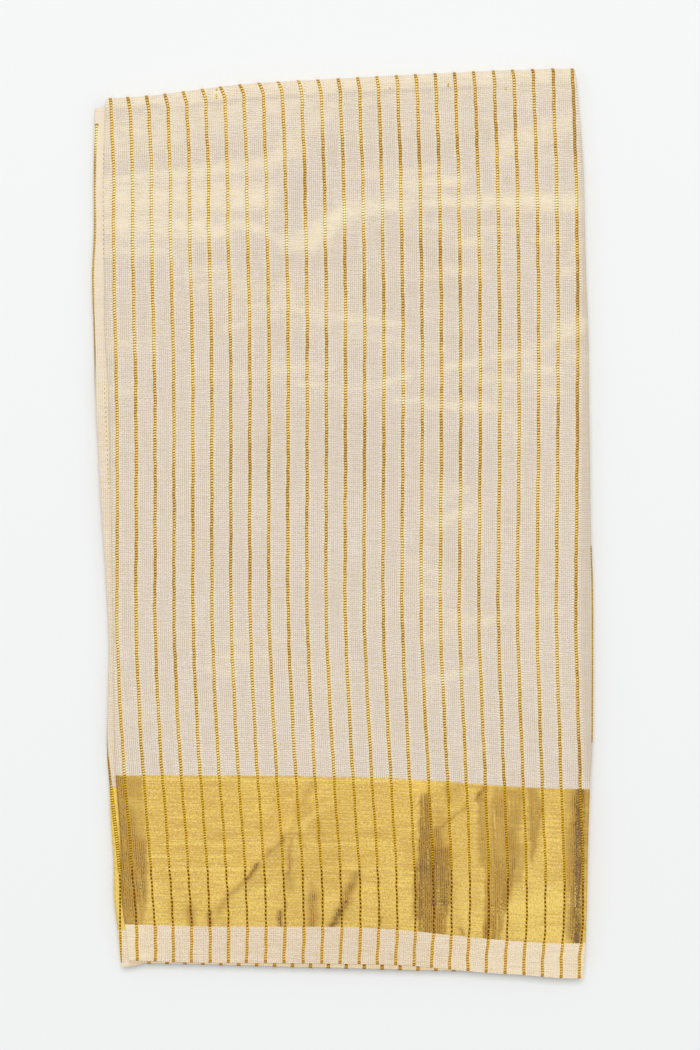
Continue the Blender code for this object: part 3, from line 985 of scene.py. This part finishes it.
inner_stations = np.array([(k / INNER_COLUMNS, 0.0) for k in range(INNER_COLUMNS + 1)])
inner_cloth, *_ = lay_sheet(
    "inner_cloth", inner, "inner_end", "flat_end",
    inner_stations, rows=130, extra_rows=np.linspace(1 / 14, 1, 14),
)
# A little painted shade all over, and no painted sheen.
set_values(inner_cloth, glow=0.0, shade=0.2)
inner_cotton = cotton_finish(
    "inner_cotton", ground=(248, 228, 194), lit=(250, 232, 202), threads_and_shade=(222, 198, 158),
    yarn=0.35,
)
dress(
    inner_cloth, inner_cotton, "inner_panel",
)


# ----------------------------------------
# The ground of the top stretch: fine cream cotton with 25 zari stripes, pressed, with faint
# creases left from an earlier folding, which gleam where they lean to the light and darken where
# they lean away, both painted on as sheen and shade. It goes round the last fold at the head and
# rolls under at both sides.
# ----------------------------------------

UPPER_LEVEL = 9.9

upper = Layer(
    "upper_left", (0.0, 0.0, 0.0), CROSSINGS, level=UPPER_LEVEL, sag=1.75, relief_share=1.0,
    side_turn=SIDE_TURN, head_turn=LAST_FOLD_REACH, head_middle=LAST_FOLD_MIDDLE,
)

# Painted sheen where the ground leans to the light, and painted shade where it leans away, as it
# does along its creases and where it rolls under at the side folds.
PAINTED_SHEENS = table(
    "x0 y0 x1 y1 half_width glow",
    (-163, 253, -28, 279.5, 20, 0.5),
    (11.5, 282.5, 157, 286, 14.5, 0.36),
    (104, 246.5, 150.5, 266, 10, 0.62),
    (118, 243, 150, 240, 7, 0.3),
    (-156.5, 225, -107, 231, 5.5, 0.62),
    (-107, 230, -51, 236.5, 6.5, 0.66),
    (-51, 236.5, -28, 247.5, 6.5, 0.6),
    (-38, 249.5, -7, 274, 8.5, 0.5),
    (-156.5, 213.5, -53, 215.5, 12.5, 0.74),
    (-154.5, 197, -94, 195, 11, 0.7),
    (-160, 180.5, -104, 179, 6.5, 0.5),
    (-94, 192, -77.5, 192, 6, 0.85),
    (-77.5, 199, -53, 193.5, 5, 0.62),
    (-53, 193.5, -37, 186.5, 5, 0.5),
    (-37, 183.5, -20, 182.5, 6, 0.68),
    (-24.5, 187, -11.5, 192, 8, 0.82),
    (-13.5, 193.5, 2, 204, 8, 0.85),
    (2, 206.5, 39.5, 210.5, 7.5, 0.62),
    (5, 208, 54.5, 210, 8.5, 0.52),
    (5, 229, 28, 232, 4.6, 0.46),
    (37, 224, 79, 226.5, 5.2, 0.64),
    (38, 232, 64.5, 234.5, 4, 0.46),
    (28, 220, 64.5, 216.5, 4.6, 0.41),
    (59, 212.5, 140, 212, 5, 0.75),
    (110.5, 212, 152, 211.5, 8, 0.75),
    (51.5, 196, 74.5, 195, 4.6, 0.37),
    (76.5, 185, 91, 185, 4, 0.6),
    (93, 195.5, 114, 193, 2.9, 0.51),
    (127, 187, 145, 188, 4, 0.51),
    (151.5, 176.5, 158, 183.5, 5.2, 0.44),
    (68, 168, 91, 166, 4.5, 0.52),
    (53.5, 162.5, 64.5, 162, 3.2, 0.44),
    (145.5, 165, 155, 167, 4.5, 0.52),
    (-100.5, 166, -73, 167, 5.5, 0.5),
    (-94, 155, -61, 160, 5.9, 0.4),
    (-67.5, 152.5, -34.5, 154.5, 5.5, 0.45),
    (-41, 150, 2, 146, 5.9, 0.32),
    (-62, 142, -34.5, 142.5, 3.2, 0.48),
    (-38, 142.5, -18, 140, 4.5, 0.52),
    (-18, 139.5, 2, 136, 5.9, 0.48),
    (2, 135.5, 39.5, 131, 4.5, 0.5),
    (-77.5, 129, -55.5, 133.5, 3.2, 0.44),
    (-34.5, 133.5, -8, 132, 5.2, 0.32),
    (-156.5, 117.5, -127, 117.5, 8, 0.4),
    (-154.5, 89, -133.5, 86.5, 6, 0.4),
    (-100.5, 98, -44.5, 98.5, 5.9, 0.32),
    (-44.5, 103, -8, 102, 5.5, 0.45),
    (-29, 92.5, -7, 90, 3.2, 0.56),
    (-71, 88, -57, 87.5, 4.5, 0.28),
    (-8, 88.5, 28, 90.5, 3.2, 0.4),
    (2, 125.5, 64.5, 114.5, 6.5, 0.38),
    (27.5, 92.5, 43.5, 97, 3.2, 0.68),
    (43.5, 100, 68, 101, 7, 0.3),
    (50, 113, 59, 107.5, 8, 0.25),
    (68, 102.5, 92, 106.5, 4.5, 0.52),
    (35.5, 81.5, 56.5, 80.5, 3.2, 0.56),
    (56.5, 77.5, 77.5, 78, 4.5, 0.6),
    (74.5, 76.5, 102, 76, 5.2, 0.6),
    (93, 96, 112, 94.5, 4.5, 0.48),
    (101, 110.5, 124, 111.5, 4.5, 0.56),
    (124, 114.5, 145, 122, 5.9, 0.48),
    (122.5, 102.5, 143.5, 100, 6, 0.5),
    (132.5, 87.5, 143.5, 86.5, 5.2, 0.48),
    (143.5, 127.5, 158, 131, 7.5, 0.7),
    (145.5, 110.5, 160, 109, 5.9, 0.4),
    (109.5, 71.5, 117.5, 56, 6, 0.4),
    (50, 51.5, 64.5, 48.5, 7.5, 0.3),
    (73, 22, 82.5, 22, 4.5, 0.48),
    (58, 25, 68, 15.5, 5.5, 0.35),
    (54, 5.5, 64.5, -4.5, 6, 0.42),
    (64.5, 2, 85.5, 8.5, 6, 0.5),
    (44.5, -24.5, 64.5, -34, 6, 0.35),
    (53.5, -44, 62.5, -45.5, 4.5, 0.48),
    (63, -60, 74.5, -62.5, 5.9, 0.34),
    (73, -64, 95, -64, 7, 0.42),
    (91, -64, 118.5, -60.5, 5.5, 0.4),
    (117.5, -58, 143.5, -58.5, 5.5, 0.35),
    (53.5, -76, 68.5, -72, 5.2, 0.44),
    (56.5, -104, 68.5, -103, 4.5, 0.44),
    (70, -101, 85.5, -96, 4.5, 0.48),
    (-72, -77.5, -40, -77, 5.2, 0.34),
    (-79.5, -89.5, -47.5, -88.5, 5.2, 0.42),
    (-88.5, -95.5, -70, -99, 5.5, 0.42),
    (-160, -120, -127, -124.5, 10.5, 0.28),
    (79.5, -154.5, 95.5, -146.5, 4.5, 0.4),
    (-150, -77, -148, -163, 4.5, 0.24),
    (130.5, -110, 157, -130, 16.5, 0.22),
    (-149, 85, -148, -160, 6, 0.24),
    (0, 262, 120, 268, 12, 0.3),
)
SHADES = table(
    "x0 y0 x1 y1 half_width shade",
    (-40, 199, -23, 228, 8, 0.33),
    (-24, 226.5, 0, 253, 8.5, 0.18),
    (0, 245, 28, 249, 8, 0.2),
    (28, 246.5, 64.5, 246.5, 6, 0.29),
    (64.5, 247, 87.5, 255, 4, 0.3),
    (87.5, 255, 117.5, 270, 4.5, 0.3),
    (-152, 263.5, -28, 271.5, 2.5, 0.2),
    (-90.5, 206, -53, 202, 1.5, 0.49),
    (-103, 176.5, -53, 176.5, 5, 0.31),
    (-53, 186.5, -43.5, 176.5, 5.5, 0.31),
    (-38.5, 172.5, 2, 172.5, 4.5, 0.41),
    (2, 185.5, 38, 187, 6, 0.34),
    (38, 184.5, 74.5, 175.5, 8, 0.37),
    (48, 205.5, 68, 204, 3.5, 0.49),
    (74.5, 199, 91, 200, 3.5, 0.33),
    (25, 154, 77.5, 152.5, 7.5, 0.37),
    (-61, 127.5, -28, 117.5, 6, 0.3),
    (61, 121, 91, 119.5, 4.5, 0.45),
    (38, 85.5, 64.5, 89, 2.5, 0.5),
    (77.5, 86.5, 91, 88, 3.5, 0.5),
    (-41, 68, 51.5, 63, 14.5, 0.42),
    (-74, 45, 91, 38.5, 16.5, 0.38),
    (-67.5, -27.5, -1.5, -50.5, 18.5, 0.28),
    (74.5, -17.5, 92, -49.5, 10.5, 0.4),
    (-34.5, 28.5, 51.5, 25, 9, 0.3),
    (18.5, -116.5, 64.5, -156.5, 14.5, 0.25),
    (58, -83.5, 79, -87.5, 5.5, 0.4),
    (157.5, 262, 161, 200, 3.5, 0.7),
    (161, 200, 163.5, -163, 6, 1.3),
    (-152, 94.5, -150, -163, 2, 0.35),
)

# The thin crease just below the last fold, drawn as a line of painted shade.
UNDER_LAST_FOLD = table(
    "x y",
    (-150, 272),
    (-127, 273.5),
    (-90.5, 276.5),
    (-67.5, 279.5),
    (-8, 282),
    (25, 284.5),
    (71, 286.5),
    (91, 288.5),
    (130.5, 290),
    (152, 290),
)

# How far the stripes are drawn to the left in the last fold.
LAST_FOLD_LEAN = table(
    "x lean",
    (-152, 0.8),
    (-140, 1.6),
    (-125, 1.9),
    (-13, 2.0),
    (0, 1.4),
    (50, 0.8),
    (120, 0.5),
    (135, 0.2),
)


def under_last_fold(x, y):
    """How near a point is to the crease below the last fold, which is fainter at the left."""
    near = hump(y, read(UNDER_LAST_FOLD, "x", "y", x), 0.8)
    return near * (0.5 + 0.5 * ease((x + 110) / 40))


def in_last_fold(x, y):
    return ease((y - read(UNDER_LAST_FOLD, "x", "y", x)) / 2)


MEASURED = STRIPE_RUNS.dtype.names[1:]  # the stripes whose run is known, every third one


def stripe_line(number):
    """A stripe's x at each y, drawn to the left in the last fold."""
    before = min(number // 3, len(MEASURED) - 2)
    share = number / 3 - before

    def line(y):
        left = read(STRIPE_RUNS, "y", MEASURED[before], y)
        right = read(STRIPE_RUNS, "y", MEASURED[before + 1], y)
        x = left + share * (right - left)
        drawn = ease((y - crossing("last_fold", x) + 10) / 12)
        x = x - read(LAST_FOLD_LEAN, "x", "lean", x) * drawn
        return x + 0.14 * np.sin(y / 8.5 + 2.4 * number) + 0.13 * np.sin(y / 2.3 + 5.1 * number)

    return line


def stripe_count(x, y):
    """Which stripe a point lies by: 0 on the first and 24 on the last, and parts between them."""
    lines = np.array([read(STRIPE_RUNS, "y", name, y) for name in MEASURED])
    before = np.clip((lines < x).sum(axis=0) - 1, 0, len(lines) - 2)
    point = np.arange(len(x))
    start, end = lines[before, point], lines[before + 1, point]
    return 3 * (before + (x - start) / (end - start))


def ground_gleam(x, y):
    """Painted light on the stripes: bright where the ground has its painted sheen, and brown with
    painted shade where it leans away, near the last fold and along the right side fold.
    """
    lit = 0.6 * strokes(PAINTED_SHEENS, x, y, "glow") + 0.04 * ease((-20 - y) / 60)
    dim = 0.35 * strokes(SHADES, x, y, "shade") + 0.22 * ease((y - 232) / 18)
    wander = 0.2 * np.sin(x / 19 + 1.3 * np.sin(y / 23)) * np.cos(y / 17 + x / 27)
    right_side = (0.05 + 0.35 * hump(y, 258, 22) + 0.4 * hump(y, 157, 14)) * ease((x - 148) / 5)
    return 0.38 + lit - dim + wander - right_side


GROUND_SLANT = 0.22
FOLD_SHARE = 0.9  # how much of the last fold's round the stripes go
NEAR_LAST_FOLD = 280.0

# Ends of gold yarn that stick out of the weave.
LOOSE_ENDS = table(
    "x y length",
    (-83, 285.5, 1.6),
    (-83, 280, 3.0),
    (31.5, 286.5, 1.2),
    (70, 288, 2.2),
    (108, 286, 1.4),
)


def edge_line(y):
    """The next stripe, whose bars show on the right side fold for a stretch."""
    return side("upper_right", y) - 0.1


parts = []
for number in range(STRIPES):
    line = stripe_line(number)
    foot = float(crossing("band_head", line(BAND_HEAD)))
    head = float(upper.flat_end(line(NEAR_LAST_FOLD))) + FOLD_SHARE * upper.head_length()
    parts.append(lay_stripe(upper, line, foot, head - foot, ground_gleam, slant=GROUND_SLANT))
parts.append(lay_stripe(upper, edge_line, -145, 130, 0.3, widths=(1.0, 0.8), slant=GROUND_SLANT))
for x, y, length in LOOSE_ENDS:
    parts.append(lay_stripe(upper, x, y, length, ground_gleam, 1.4, (0.8, 0.5), 0.2, 0.2))
ground_stripes = join("ground_stripes", parts, gold_stripe)

upper_stations = across_stations(122, 9)
top_ground, x, y = lay_sheet(
    "top_ground", upper, "band_head", "flat_end",
    upper_stations, rows=176, extra_rows=np.append(np.linspace(1 / 16, 1, 16), 1.06),
)
# Painted sheen, also over the last fold, which rounds towards the light, and painted shade, also
# along the crease under it.
glow = np.maximum(strokes(PAINTED_SHEENS, x, y, "glow"), 0.62 * in_last_fold(x, y))
in_crease = 0.7 * under_last_fold(x, y)
set_values(
    top_ground,
    glow=glow * (1 - in_crease),
    shade=np.maximum(strokes(SHADES, x, y, "shade"), in_crease),
    stripe=stripe_count(x, y),
)
ground_cotton = cotton_finish(
    "ground_cotton", ground=(240, 227, 218), lit=(249, 235, 214), threads_and_shade=(207, 192, 173),
    ticks=1.0,
)
dress(
    top_ground, ground_cotton, "upper_body",
)


# ----------------------------------------
# The zari band: the same cloth woven with gold weft only. It is stiffer than the ground and
# holds sharper creases, which show as brown patches of painted shade where it leans away from
# the light, and as painted highlights where it lies open to it.
# ----------------------------------------

# Brown patches of painted shade, each between a left and a right side that run from its top to
# its foot, with how soft those sides and its ends are and how deep its shade. Then the creases
# between them, also painted shade, and the ridges that shine, as painted highlights.
PATCHES = table(
    "top foot left_top left_foot right_top right_foot soft_left soft_right soft_ends dull",
    (-176, -262, -50, -45, 10, 12, 6, 6, 6, 0.1),
    (-165.5, -268.5, -166.5, -166.5, -143.5, -136, 1.5, 2, 1, 0.5),
    (-166, -188, -166.5, -166.5, -146, -144, 1.5, 3, 5, 0.5),
    (-167, -181.5, -166.5, -166.5, -132, -132, 1.5, 1.5, 2, 0.5),
    (-180.5, -210.5, -166.5, -166.5, -131, -129, 1.5, 2.5, 3.5, 0.35),
    (-186.5, -213, -166.5, -166.5, -137.5, -134, 1.5, 2, 4, 0.5),
    (-208, -252, -166.5, -166.5, -129, -129, 1.5, 2, 4.5, 0.68),
    (-212, -250, -138, -137, -129.5, -129, 3, 2, 5, 0.5),
    (-250.5, -268.5, -166.5, -166.5, -129.5, -131.5, 1.5, 2, 3.5, 0.5),
    (-178.5, -229, 51.5, 49.5, 58, 61, 1, 1.5, 3, 0.95),
    (-200, -215.5, 60.5, 60.5, 64, 67, 1.5, 1.5, 2.5, 0.65),
    (-213, -252, 58.5, 58.5, 71.5, 71.5, 1.5, 1.5, 2.5, 0.95),
    (-226, -276.5, 49.5, 50, 60, 60, 1, 2, 2.5, 0.94),
    (-222, -262, 47.5, 49, 53, 54, 1, 2.5, 5, 0.5),
    (-233, -260.5, 46, 46, 50.5, 50.5, 1, 1.5, 3.5, 0.5),
    (-248.5, -276.5, 58.5, 59, 71, 67, 1.5, 1.5, 2.5, 0.92),
    (-186.5, -213, 60.5, 60.5, 68.5, 71, 2.5, 3.5, 4, 0.35),
    (-168, -184, 66, 66, 80, 78, 2, 2, 2.5, 0.2),
    (-172, -268, 72.5, 73, 81.5, 79.5, 2, 3, 4, 0.16),
    (-197, -255, 85.5, 85.5, 91, 91, 1.5, 1.5, 4, 0.16),
    (-173.5, -226, 99, 98, 120.5, 114.5, 2, 3, 3, 0.56),
    (-212, -238, 112.5, 112, 122, 118.5, 2, 1.5, 3, 0.45),
    (-232, -250, 107.5, 106, 115, 112, 1.5, 1.5, 2.5, 0.4),
    (-179.5, -226, 89, 90.5, 96, 96, 1.5, 1.5, 3, 0.58),
    (-184.5, -222.5, 95.5, 96, 101.5, 101, 1.5, 2, 4, 0.35),
    (-174, -190.5, 122.5, 122.5, 129, 132.5, 1, 2, 2.5, 0.65),
    (-189.5, -225, 122.5, 124.5, 132.5, 126, 1.5, 1.5, 2, 0.7),
    (-179.5, -192.5, 131, 131, 141, 138, 1.5, 3.5, 2.5, 0.2),
    (-222.5, -276.5, 94, 93, 114.5, 104, 1, 1, 3.5, 0.6),
    (-262, -274, 93, 93, 98, 98, 1, 2, 2, 0.8),
    (-225, -258, 110, 104, 114.5, 108, 1.5, 1, 4, 0.5),
    (-227.5, -250, 99.5, 99.5, 108.5, 109.5, 1.5, 2, 3.5, 0.45),
    (-250, -276.5, 95.5, 93.5, 105.5, 101, 1.5, 2, 2.5, 0.6),
    (-181.5, -193, 101, 101, 107, 107, 2, 2, 2.5, 0.35),
    (-201, -217, 106, 106, 113.5, 113.5, 2, 2, 3.5, 0.35),
    (-168, -285, 151.5, 150.5, 163.5, 157.5, 2.5, 2, 0.5, 0.65),
    (-168, -192, 146, 147, 152.5, 152.5, 2, 2, 2.5, 0.45),
    (-169.5, -281.5, 153, 151.5, 160.5, 157.2, 2, 1, 2, 1.0),
    (-180, -225, 156, 155.5, 160, 158, 1, 1, 5, 0.5),
    (-196, -275, 147, 147, 153.5, 153.5, 2.5, 2, 8, 0.6),
)
FOLDS = table(
    "x0 y0 x1 y1 half_width dull",
    (-55.5, -225, -63, -235, 1.7, 1.1),
    (-63, -235, -67.5, -239, 1.9, 0.5),
    (-67.5, -239, -75.5, -245.5, 2.4, 0.55),
    (-75.5, -245.5, -81.5, -256, 2.5, 0.5),
    (-40, -206.5, -40, -211, 1.7, 0.85),
    (-41, -211, -46.5, -215.5, 2.2, 0.4),
    (-46.5, -215.5, -51.5, -220.5, 2.2, 0.6),
    (-53, -221, -55.5, -224.5, 1.1, 0.4),
    (-34, -209, -35, -222.5, 1.6, 0.5),
    (-34.5, -219, -35, -230, 1.6, 0.65),
    (-35, -230, -36, -239, 1.8, 0.55),
    (-34, -234, -33, -241, 2.2, 0.35),
    (-30, -182.5, -29.5, -194, 1.9, 0.4),
    (-28.5, -186.5, -22.5, -177.5, 3.3, 0.45),
    (-24, -179.5, -20, -173.5, 3.3, 0.4),
    (-28, -204.5, -26.5, -212.5, 1.5, 0.5),
    (-16, -197, -15.5, -210.5, 1.5, 0.5),
    (-41, -257, -41.2, -265.5, 2.1, 1.1),
    (-37.6, -250.5, -38, -254, 1.4, 0.6),
    (-20, -239, -20, -252, 2.6, 0.4),
    (-19.5, -246, -19.5, -266.5, 4, 0.8),
    (-100.5, -252, -101, -256.5, 3.6, 0.4),
    (-100, -256, -99.5, -266.5, 3.3, 0.75),
    (-87.5, -256.5, -87.5, -267, 1.8, 0.95),
    (-113, -250.5, -113, -262, 2.3, 0.3),
    (9, -231.5, 5, -241, 3.6, 0.5),
    (6, -239.5, 2, -249.5, 3.6, 0.85),
    (2.5, -250, -1, -256.5, 3.3, 0.9),
    (-1.5, -256, -7, -267, 3, 1.1),
    (25, -260, 25.5, -264.5, 1.2, 0.8),
    (78.5, -268, 79.5, -271, 1.6, 0.75),
    (59, -208, 69, -197, 1.5, 0.5),
    (69, -197, 81.5, -188, 1.3, 0.5),
    (69.5, -173.5, 70, -183.5, 1.7, 0.5),
    (93.5, -175, 90.5, -179.5, 2.2, 0.95),
    (91, -178.5, 88.5, -182.5, 1.3, 0.8),
    (-73, -205, 48, -205, 0.6, 0.25),
)
RIDGES = table(
    "x0 y0 x1 y1 half_width shine",
    (-27, -202, -24, -196, 2.3, 0.8),
    (-25, -198, -14.5, -188.5, 2.4, 0.9),
    (-16, -189.5, -7, -184, 2, 0.45),
    (-53, -223.5, -40, -213.5, 1, 0.45),
    (-117, -211.5, 38, -211.5, 1.0, 0.6),
    (-114.5, -228.3, -67.5, -228.3, 0.7, 1.1),
    (-67.5, -228.3, 40, -228.3, 0.7, 0.5),
    (-127, -220, -73, -220, 0.7, 0.8),
    (-131.5, -168.5, -112.5, -169, 0.9, 0.45),
    (-61, -246, -43.5, -237.5, 1.7, 0.4),
    (107.5, -256, 145, -250, 7.9, 0.7),
    (120.5, -270, 145, -271, 5.3, 0.5),
    (75.5, -182.5, 79.5, -265, 3.3, 0.3),
    (-128, -169, 51.5, -170, 0.9, 0.7),
    (87.5, -182.5, 87, -235.5, 1, 0.4),
    (136, -182.5, 134, -222.5, 2, 0.4),
    (-125.5, -235.5, -121.5, -262, 3.3, 0.35),
    (31.5, -215.5, 38, -248.5, 6.6, 0.25),
    (-67.5, -245.5, -53, -258.5, 4, 0.3),
)


def smooth(value, soft):
    return ease(0.5 + value / (2 * soft))


def painted_band_shade(x, y):
    """How much painted shade the band gets where it leans from the light. The patches' sides are a
    little ragged.
    """
    x = x + 0.35 * np.sin(y / 2.3 + x / 8.0) + 0.25 * np.sin(y / 1.0 + x / 3.1)
    open_share = np.ones(x.shape)
    for patch in PATCHES:
        share = np.clip((y - patch["top"]) / (patch["foot"] - patch["top"]), 0, 1)
        left = patch["left_top"] + share * (patch["left_foot"] - patch["left_top"])
        right = patch["right_top"] + share * (patch["right_foot"] - patch["right_top"])
        inside = smooth(x - left, patch["soft_left"]) * smooth(right - x, patch["soft_right"])
        inside = inside * smooth(patch["top"] - y, patch["soft_ends"])
        inside = inside * smooth(y - patch["foot"], patch["soft_ends"])
        open_share = open_share * (1 - patch["dull"] * inside)
    return 1 - open_share * (1 - np.clip(strokes(FOLDS, x, y, "dull"), 0, 1))


def band_shine(x, y):
    """Painted highlight on the ridges, and on the foot and the right side, which lie open to the
    light.
    """
    open_sides = 0.25 * ease((-222 - y) / 25) + 0.12 * ease((x - 60) / 60)
    return strokes(RIDGES, x, y, "shine") + open_sides


# Painted light on the band's stripes: brighter on the ridges, darker in the band's painted shade,
# and the dots a little darker still.
def band_gleam(x, y):
    return 0.6 + 0.3 * strokes(RIDGES, x, y, "shine") - 0.3 * painted_band_shade(x, y)


def dot_gleam(x, y):
    return band_gleam(x, y) - 0.2


BAND_BARS = {"pitch": 1.72, "widths": (0.92, 0.8), "height": 0.3, "slant": 0.3}
BAND_DOTS = {"pitch": DOT_PITCH, "widths": (0.72, 0.74), "height": 0.3, "dotted": True}
BARS_END = -226.8  # where the stripes' bars turn to dots, up to DOTS_DROP further down at the right
DOTS_DROP = 10.0

parts = []
for number in range(STRIPES):
    line = stripe_line(number)
    head = float(crossing("band_head", line(BAND_HEAD)))
    turn = float(BARS_END - DOTS_DROP * ease((line(-228.0) - 40) / 100))
    foot = float(crossing("band_foot", line(BAND_FOOT)))
    parts.append(lay_stripe(upper, line, turn, head - turn, band_gleam, **BAND_BARS))
    parts.append(lay_stripe(upper, line, foot, turn - foot, dot_gleam, **BAND_DOTS))
band_stripes = join("band_stripes", parts, band_stripe)

top_zari_band, x, y = lay_sheet(
    "top_zari_band", upper, "band_foot", "band_head", across_stations(300, 7), rows=150
)
set_values(top_zari_band, dull=painted_band_shade(x, y), shine=band_shine(x, y))
dress(
    top_zari_band, zari, "upper_zari_band",
)


# ----------------------------------------
# The heading: plain cotton past the band, up to the woven end, where the stripes' gold cord is
# twisted like rope. Warmer than the ground, because no gold weft runs through it.
# ----------------------------------------

ROPE_END = 1.7  # the last turn of each rope, drawn dark
ROPE = {"pitch": ROPE_PITCH, "widths": (1.2, 0.95), "height": 0.4, "slant": 0.35}
ROPE_KNOT = {"pitch": ROPE_END, "widths": (1.2, 0.9), "height": 0.5}

parts = []
for number in range(STRIPES):
    line = stripe_line(number)
    head = float(crossing("band_foot", line(BAND_FOOT)))
    foot = float(crossing("end", line(NEAR_FOOT)))
    length = head - foot - ROPE_END
    parts.append(lay_stripe(upper, line, foot + ROPE_END, length, 0.6, **ROPE))
    parts.append(lay_stripe(upper, line, foot + 0.1, ROPE_END, -0.5, **ROPE_KNOT))
heading_stripes = join("heading_stripes", parts, rope_stripe)

top_heading, x, _ = lay_sheet("top_heading", upper, "end", "band_foot", upper_stations, rows=12)
# Painted sheen towards both ends, and painted shade across the middle.
set_values(
    top_heading,
    glow=0.5 * ease((x + 20) / 160) + 0.6 * ease((-85 - x) / 65),
    shade=0.5 * hump(x, -15, 80),
)
dress(
    top_heading, heading_cotton, "upper_end_strip",
)


# ----------------------------------------
# The table it lies on, the light and the camera, which stands straight over the cloth. A broad
# soft light hangs over the head of the cloth, and a white room fills the rest.
# ----------------------------------------

FLOOR_SIDE = 30.0
CAMERA_HEIGHT = 1.6362
CAMERA_X, CAMERA_Y = 0.0051, -0.0012
LENS, SENSOR = 85.0, 36.0
WORLD_LIGHT = 0.575
LAMP_SIZE = 5.0
LAMP_PLACE = (0.0, 3.6, 8.2)
LAMP_WATTS = 378.0

bpy.ops.object.select_all(action="DESELECT")
bpy.ops.mesh.primitive_plane_add(size=FLOOR_SIDE)
floor = bpy.context.object
floor.name = "table_top"
paper = Finish("white_table", 0.6)
paper.fill(paper.shader, {"Base Color": swatch(246, 248, 248)})
floor.data.materials.append(paper.material)

world = bpy.data.worlds.new("white_room")
world.use_nodes = True
world.node_tree.nodes["Background"].inputs["Color"].default_value = (1, 1, 1, 1)
world.node_tree.nodes["Background"].inputs["Strength"].default_value = WORLD_LIGHT
bpy.context.scene.world = world
bpy.context.scene.view_settings.view_transform = "Standard"

lamp = bpy.data.lights.new("softbox", "AREA")
lamp.shape = "SQUARE"
lamp.size = LAMP_SIZE
lamp.energy = LAMP_WATTS
softbox = bpy.data.objects.new("softbox", lamp)
softbox.location = LAMP_PLACE
softbox.rotation_euler = (-Vector(LAMP_PLACE)).to_track_quat("-Z", "Y").to_euler()
bpy.context.scene.collection.objects.link(softbox)

camera = bpy.data.cameras.new("camera")
camera.lens = LENS
camera.sensor_width = camera.sensor_height = SENSOR
camera.clip_end = 100.0
viewpoint = bpy.data.objects.new("camera", camera)
viewpoint.location = (CAMERA_X, CAMERA_Y, UPPER_LEVEL * MM + CAMERA_HEIGHT)
bpy.context.scene.collection.objects.link(viewpoint)
bpy.context.scene.camera = viewpoint
